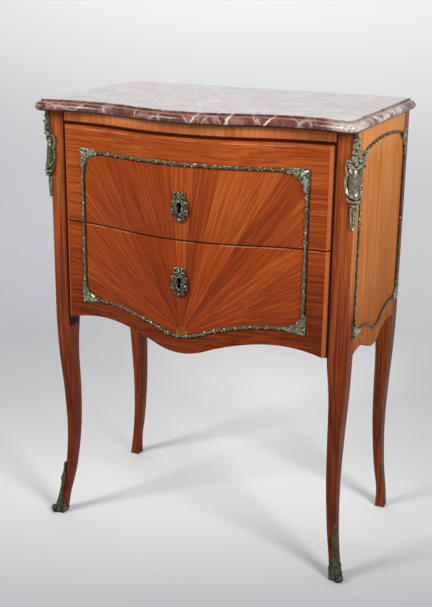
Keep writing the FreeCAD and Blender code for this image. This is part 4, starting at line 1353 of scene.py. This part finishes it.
def makeSideFrames():
    half, turn, cut = sideField["half"], sideField["corner"], moulding["cut"]
    start = turn - half
    high, low = sideArch(half), lowerRun(sideField, half)
    across = [start * step / 16 for step in range(16)]
    line = [(run, lowerRun(sideField, run)) for run in across]
    line += eased((start, lowerRun(sideField, start)), (-half, low), (-half, low + turn), cut)
    line += [(-half, low + step * (high - low) / 6) for step in range(1, 6)]
    line += eased((-half, high - turn), (-half, high), (start, sideArch(start)), cut)
    line += [(start * step / 10, sideArch(start * step / 10)) for step in range(9, 0, -1)]
    pieces = twistedStick(bothHalves(line, (0, sideArch(0))))
    for side, size in ((-1, 0.86), (1, 1.02)):  # larger at the back
        edge = side * (half + 0.003)
        pieces.append(foliage(edge, high + 0.003, side > 0, False, size, side * 8))
        pieces.append(foliage(edge, low - 0.005, side > 0, True, 1.04, side * 10))
    for lean, size in ((-20, 0.85), (30, 0.90), (92, 0.60)):  # a spray over the back corner
        pieces.append(stamp(acanthus, half - 0.012, high - 0.003, lean, size, 0.0012))
    right = joined("sideFrame.right", pieces)
    right.data.transform(Matrix.Translation((sideField["middle"], 0, 0)))
    finishedPair(layOnSide(right), "sideFrame", "side_frame")
    print("side frames made")


# escutcheons

escutcheon = {
    "shield": [  # half outline from the crown's foot to the drop, about the keyhole
        (0.0000, 0.0105), (0.0055, 0.0100), (0.0098, 0.0085), (0.0128, 0.0070), (0.0146, 0.0030),
        (0.0138, -0.0010), (0.0142, -0.0060), (0.0154, -0.0105), (0.0142, -0.0150), (0.0110, -0.0180),
        (0.0092, -0.0205), (0.0080, -0.0235), (0.0048, -0.0262), (0.0000, -0.0270),
    ],
    "foot": 0.027,  # from the keyhole down
    "dome": [(0.0005, 0.0010), (0.0012, 0.0018), (0.0020, 0.0021)],
    "keyRadius": 0.0049,
    "slot": 0.0044,
    "drop": 0.0130,
    "leaves": [(0.0000, 0.0075, 0, 0.92), (0.0105, -0.0030, 160, 0.66), (0.0055, -0.0175, 150, 0.46)],
    "scrolls": [  # x, z, radius, start, sweep
        (0.0064, 0.0174, 0.0042, 250, 330),
        (0.0060, 0.0098, 0.0036, 60, -330),
        (0.0114, 0.0030, 0.0030, 20, 380),
        (0.0116, -0.0120, 0.0034, 90, 360),
    ],
    "beads": [(0.0100, 0.0212), (0.0000, 0.0212), (0.0136, -0.0150)],
    "crownPlate": [
        (0.0100, 0.0060), (0.0108, 0.0130), (0.0100, 0.0218),
        (-0.0100, 0.0218), (-0.0108, 0.0130), (-0.0100, 0.0060),
    ],
}


def keyCutter():
    bpy.ops.mesh.primitive_cylinder_add(vertices=24, radius=escutcheon["keyRadius"], depth=0.03)
    cutter = newest("keyCutter")
    openMesh(cutter)
    bpy.ops.transform.rotate(value=math.pi / 2, orient_axis="X", center_override=(0, 0, 0))
    closeMesh()
    middle = (0, 0, -escutcheon["drop"] / 2)
    bpy.ops.mesh.primitive_cube_add(size=1, location=middle)
    slot = newest("keySlot")
    openMesh(slot)
    bpy.ops.transform.resize(value=(escutcheon["slot"], 0.03, escutcheon["drop"]), center_override=middle)
    closeMesh()
    settle(slot)
    combined(cutter, slot, "UNION")
    return cutter


def keyRim():  # a raised edge round the keyhole, narrower below
    rim = []
    for step in range(33):
        turn = math.tau * step / 32
        low = 0.5 - 0.5 * math.cos(turn)
        rim.append((math.sin(turn) * (0.0070 - 0.0026 * low), -0.0030, 0.0066 - 0.0222 * low))
    return wire(rim, 0.0011)


def scroll(side, x, z, radius, start, sweep):  # a curl that closes and thins
    curl, thick = [], []
    for step in range(17):
        turn = math.radians(start + sweep * step / 16)
        reach = radius * (1 - 0.030 * step)
        lift = 0.0022 + 0.00008 * step
        curl.append((side * (x + reach * math.cos(turn)), -lift, z + reach * math.sin(turn)))
        thick.append(0.0012 - 0.00003 * step)
    return wire(curl, thick)


def makeEscutcheon():
    shield = plate(mirrored(escutcheon["shield"]), escutcheon["dome"], 0.0008)
    combined(shield, keyCutter(), "DIFFERENCE", True)
    pieces = [shield, plate(escutcheon["crownPlate"], [(0.0004, 0.0003)], 0.0005), keyRim()]
    for side in (1, -1):
        for x, z, turn, size in escutcheon["leaves"]:
            if x or side == 1:
                pieces.append(stamp(acanthus, side * x, z, side * turn, size, 0.0004, side < 0))
        for x, z in escutcheon["beads"]:
            pieces.append(stamp(smallBerry, side * x, z, 0, 0.9, 0.0018))
        for row in escutcheon["scrolls"]:
            pieces.append(scroll(side, *row))
    pieces.append(stamp(smallBerry, 0, 0.0165, 0, 1.1, 0.0040))
    pieces.append(stamp(smallBerry, 0, -0.0235, 0, 1.9, 0.0026))
    return joined("escutcheon", pieces)


def makeEscutcheons():
    flat = makeEscutcheon()
    for drawer in ("upper", "lower"):
        node = f"{drawer}_escutcheon"
        piece = copied(flat, f"{drawer}Escutcheon")
        piece.data.transform(Matrix.Translation((0, 0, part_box(node)[0].z + escutcheon["foot"])))
        finished(layOnFront(piece), f"{drawer}_drawer", node)
    dropped(flat)
    print("escutcheons made")


# corner mounts at the tops of the front legs

chute = {
    "top": 0.7790,
    "stem": [  # half outline of the sheet behind the leaves
        (0.0000, 0.7788), (0.0026, 0.7780), (0.0032, 0.7640), (0.0040, 0.7500),
        (0.0052, 0.7380), (0.0056, 0.7280), (0.0040, 0.7200), (0.0000, 0.7180),
    ],
    "leafPitch": 0.0105,
    "shell": [  # half outline of the shell, from its top to its foot
        (0.0000, 0.7240), (0.0045, 0.7225), (0.0090, 0.7180), (0.0118, 0.7060), (0.0114, 0.6930),
        (0.0100, 0.6825), (0.0074, 0.6765), (0.0040, 0.6738), (0.0000, 0.6730),
    ],
    "shellDome": [(0.0010, 0.0022), (0.0026, 0.0036), (0.0046, 0.0045)],
    "ribs": (-36, 0, 36),
    "ribFoot": 0.6750,
    "ribLength": 0.0440,
    "scroll": [  # a curl that leaves the shell's shoulder
        (0.0098, 0.7120), (0.0122, 0.7180), (0.0132, 0.7250), (0.0124, 0.7320), (0.0098, 0.7362),
        (0.0068, 0.7352), (0.0060, 0.7318), (0.0078, 0.7296), (0.0096, 0.7312),
    ],
    "collar": (0.0092, 0.0078, 0.6795),  # half width, sag, height
    "drop": [  # half outline of the drop under the collar
        (0.0000, 0.6640), (0.0042, 0.6622), (0.0050, 0.6570), (0.0042, 0.6470), (0.0036, 0.6360),
        (0.0028, 0.6285), (0.0000, 0.6254),
    ],
    "relief": [  # height, how much further the mount stands out there
        (0.7800, 1.7), (0.7450, 1.8), (0.7280, 1.3), (0.7050, 0.65), (0.6900, 0.75),
        (0.6790, 1.7), (0.6680, 1.9), (0.6600, 1.6), (0.6450, 1.3), (0.6200, 1.2),
    ],
    "sideways": 0.74,  # the half on the chest's side is narrower
}


def chuteShell():  # a domed shell with a rim and ribs
    outline = mirrored(chute["shell"])
    shell = bent(plate(outline, chute["shellDome"], 0.0008))
    pieces = [shell, wire([(x, -0.0022, z) for x, z in outline + outline[:1]], 0.0013)]
    for angle in chute["ribs"]:
        lean = math.tan(math.radians(angle))
        line, thick = [], []
        for step in range(9):
            rise = chute["ribLength"] * step / 8
            swell = math.sin(math.pi * step / 8)
            reach = 0.25 * lean * rise + lean * 0.012 * swell
            line.append((reach, -0.0046 - 0.0022 * swell, chute["ribFoot"] + rise))
            thick.append(0.0008 + 0.0011 * swell)
        pieces.append(wire(line, thick))
    return pieces


def chuteStem():  # leaves and berries up a stem, a curl at each of the shell's shoulders
    back = bent(plate(mirrored(chute["stem"]), [(0.0008, 0.0006)], 0.0026))
    stem = [(0.0008 * math.sin(step * 1.3), -0.0030, chute["top"] - step * 0.0046) for step in range(12)]
    pieces = [back, wire(stem, [0.0016 + 0.0001 * step for step in range(12)])]
    for index in range(4):
        height = chute["top"] - 0.0100 - index * chute["leafPitch"]
        size = 0.54 + 0.08 * index
        pieces.append(stamp(acanthus, 0.0008, height - 0.006, 15, size, 0.0014))
        pieces.append(stamp(acanthus, -0.0008, height - 0.006, -15, size, 0.0014, True))
        pieces.append(stamp(smallBerry, 0.0022 if index % 2 else -0.0022, height, 0, 1.2, 0.0052))
    for side in (-1, 1):
        curl = [(side * x, -0.0034, z) for x, z in chute["scroll"]]
        pieces.append(wire(curl, [0.0020 - 0.0001 * step for step in range(len(curl))]))
        pieces.append(stamp(acanthus, side * 0.0020, 0.7215, side * 34, 0.80, 0.0026, side < 0))
    return pieces


def chuteDrop():  # a collar, and under it a drop of leaves
    wide, sag, height = chute["collar"]
    turns = [math.radians(-70 + 140 * step / 10) for step in range(11)]
    collar = [(wide * math.sin(turn), -0.0042, height - sag * math.cos(turn)) for turn in turns]
    pieces = [wire(collar, [0.0014 + 0.0007 * math.sin(math.pi * step / 10) for step in range(11)])]
    half = chute["drop"]
    pieces.append(bent(plate(mirrored(half), [(0.0008, 0.0010)], 0.0008)))
    pieces.append(stamp(smallBerry, 0, 0.6655, 0, 2.5, 0.0026))
    for side in (-1, 1):
        pieces.append(wire([(side * x * 0.8, -0.0022, z) for x, z in half[1:-1]], 0.0010))
    for index in range(4):
        pieces.append(stamp(acanthus, 0, 0.6575 - 0.0078 * index, 180, 0.50 - 0.06 * index, 0.0022))
    pieces.append(stamp(smallBerry, 0, 0.6270, 0, 1.3, 0.0024))
    return pieces


def makeChutes():
    right = joined("chute.right", chuteShell() + chuteStem() + chuteDrop())
    for vertex in right.data.vertices:
        for (high, above), (low, below) in zip(chute["relief"], chute["relief"][1:]):
            if low <= vertex.co.z <= high:
                vertex.co.y *= below + (above - below) * (vertex.co.z - low) / (high - low)
                break
        if vertex.co.x > 0:
            vertex.co.x *= chute["sideways"]
    finishedPair(layOnCorner(right), "chute", "corner_mount")
    print("corner mounts made")


# sabots on the front feet

sabot = {
    "spine": [  # height, half width, relief of the leaf that runs up the arris
        (0.1030, 0.0014, 0.0030), (0.0985, 0.0026, 0.0044), (0.0940, 0.0018, 0.0036),
        (0.0840, 0.0024, 0.0040), (0.0760, 0.0036, 0.0052), (0.0700, 0.0044, 0.0066),
        (0.0650, 0.0034, 0.0046), (0.0560, 0.0040, 0.0036), (0.0430, 0.0054, 0.0034),
        (0.0300, 0.0066, 0.0036), (0.0180, 0.0078, 0.0042), (0.0040, 0.0084, 0.0050),
    ],
    "shoe": [  # half outline of the sheet round the foot
        (0.0000, 0.0460), (0.0040, 0.0440), (0.0060, 0.0400), (0.0090, 0.0340), (0.0110, 0.0290),
        (0.0140, 0.0240), (0.0160, 0.0210), (0.0164, 0.0012), (0.0000, 0.0012),
    ],
    "veins": [  # start, bend and end of each
        ((0.0040, 0.0060), (0.0052, 0.0200), (0.0050, 0.0340)),
        ((0.0085, 0.0050), (0.0096, 0.0150), (0.0092, 0.0250)),
        ((0.0128, 0.0045), (0.0138, 0.0090), (0.0134, 0.0140)),
    ],
    "veinRadii": [0.0010, 0.0012, 0.0012, 0.0009, 0.0005],
    "shoeTop": (0.2790, -0.1230, 0.0125),
    "shoeWall": 0.0008,
    "toe": (0.2896, -0.1336, 0.0072),
    "toeRadius": 0.0071,
    "toeWidth": 0.0128,
}


def sabotLeaf():  # a leaf up the arris over a veined sheet
    half = sabot["shoe"]
    rows = sabot["spine"][::-1]
    spine = leaf([(height, relief * 0.5, width, relief * 0.62) for height, width, relief in rows], 10)
    pieces = [bent(plate(mirrored(half), [(0.0007, 0.0006)], 0.0009), 14), spine]
    for side in (1, -1):
        edge = [(side * width * 0.92, -relief * 0.5, height) for height, width, relief in rows[:-3]]
        pieces.append(wire(edge, 0.0008))
        pieces.append(stamp(acanthus, side * 0.0022, 0.0590, side * 8, 0.72, 0.0010, side < 0))
        for vein in sabot["veins"]:
            line = [(side * x, -0.0018, z) for x, z in eased(*vein, 0, 4)]
            pieces.append(wire(line, sabot["veinRadii"]))
        pieces.append(wire([(side * x, -0.0016, z) for x, z in half[1:-2]], 0.0009))
    return layOnCorner(joined("sabot.right", pieces))


def sabotShoe():  # the foot's own shape, a little larger, cut off low
    shoe = copied(bpy.data.objects["leg.front.right"], "shoe")
    paint(shoe, "bronze")
    openMesh(shoe)
    bpy.ops.mesh.bisect(plane_co=sabot["shoeTop"], plane_no=(-0.3, 0.3, 1), use_fill=True, clear_outer=True)
    bpy.ops.mesh.select_all(action="SELECT")
    bpy.ops.transform.shrink_fatten(value=sabot["shoeWall"])
    bpy.ops.mesh.select_all(action="SELECT")
    bpy.ops.mesh.bisect(plane_co=(0, 0, 0.0003), plane_no=(0, 0, 1), use_fill=True, clear_inner=True)
    closeMesh()
    return shoe


def sabotToe():  # the scroll that the foot rests on
    bpy.ops.mesh.primitive_cylinder_add(vertices=28, radius=sabot["toeRadius"], depth=sabot["toeWidth"])
    toe = newest("toe")
    openMesh(toe)
    end = sabot["toeWidth"] / 2
    choose(toe, "EDGE", lambda middle: abs(abs(middle.z) - end) < 1e-4)
    bpy.ops.mesh.bevel(offset=0.0024, segments=4)
    choose(toe, "FACE", lambda middle: abs(middle.z) > end - 1e-4)
    bpy.ops.mesh.inset(thickness=0.0012, depth=-0.0006)
    bpy.ops.mesh.inset(thickness=0.0008, depth=0.0008)
    bpy.ops.mesh.select_all(action="SELECT")
    bpy.ops.transform.rotate(value=math.pi / 2, orient_axis="X", center_override=(0, 0, 0))
    closeMesh()
    toe.data.transform(Matrix.Translation(sabot["toe"]) @ Matrix.Rotation(math.radians(-45), 4, "Z"))
    return toe


def makeSabots():
    right = joined("sabot.right", [sabotLeaf(), sabotToe(), sabotShoe()])
    finishedPair(right, "sabot", "sabot")
    print("sabots made")


deselect()
makeSweep(sweepFinish())
placeCamera()
lightStudio()
dressBoards()
makeLegs()
makeMarble()
makeFrontFrames()
makeSideFrames()
makeEscutcheons()
makeChutes()
makeSabots()
dropped(sprigLeaf, acanthus, smallBerry)
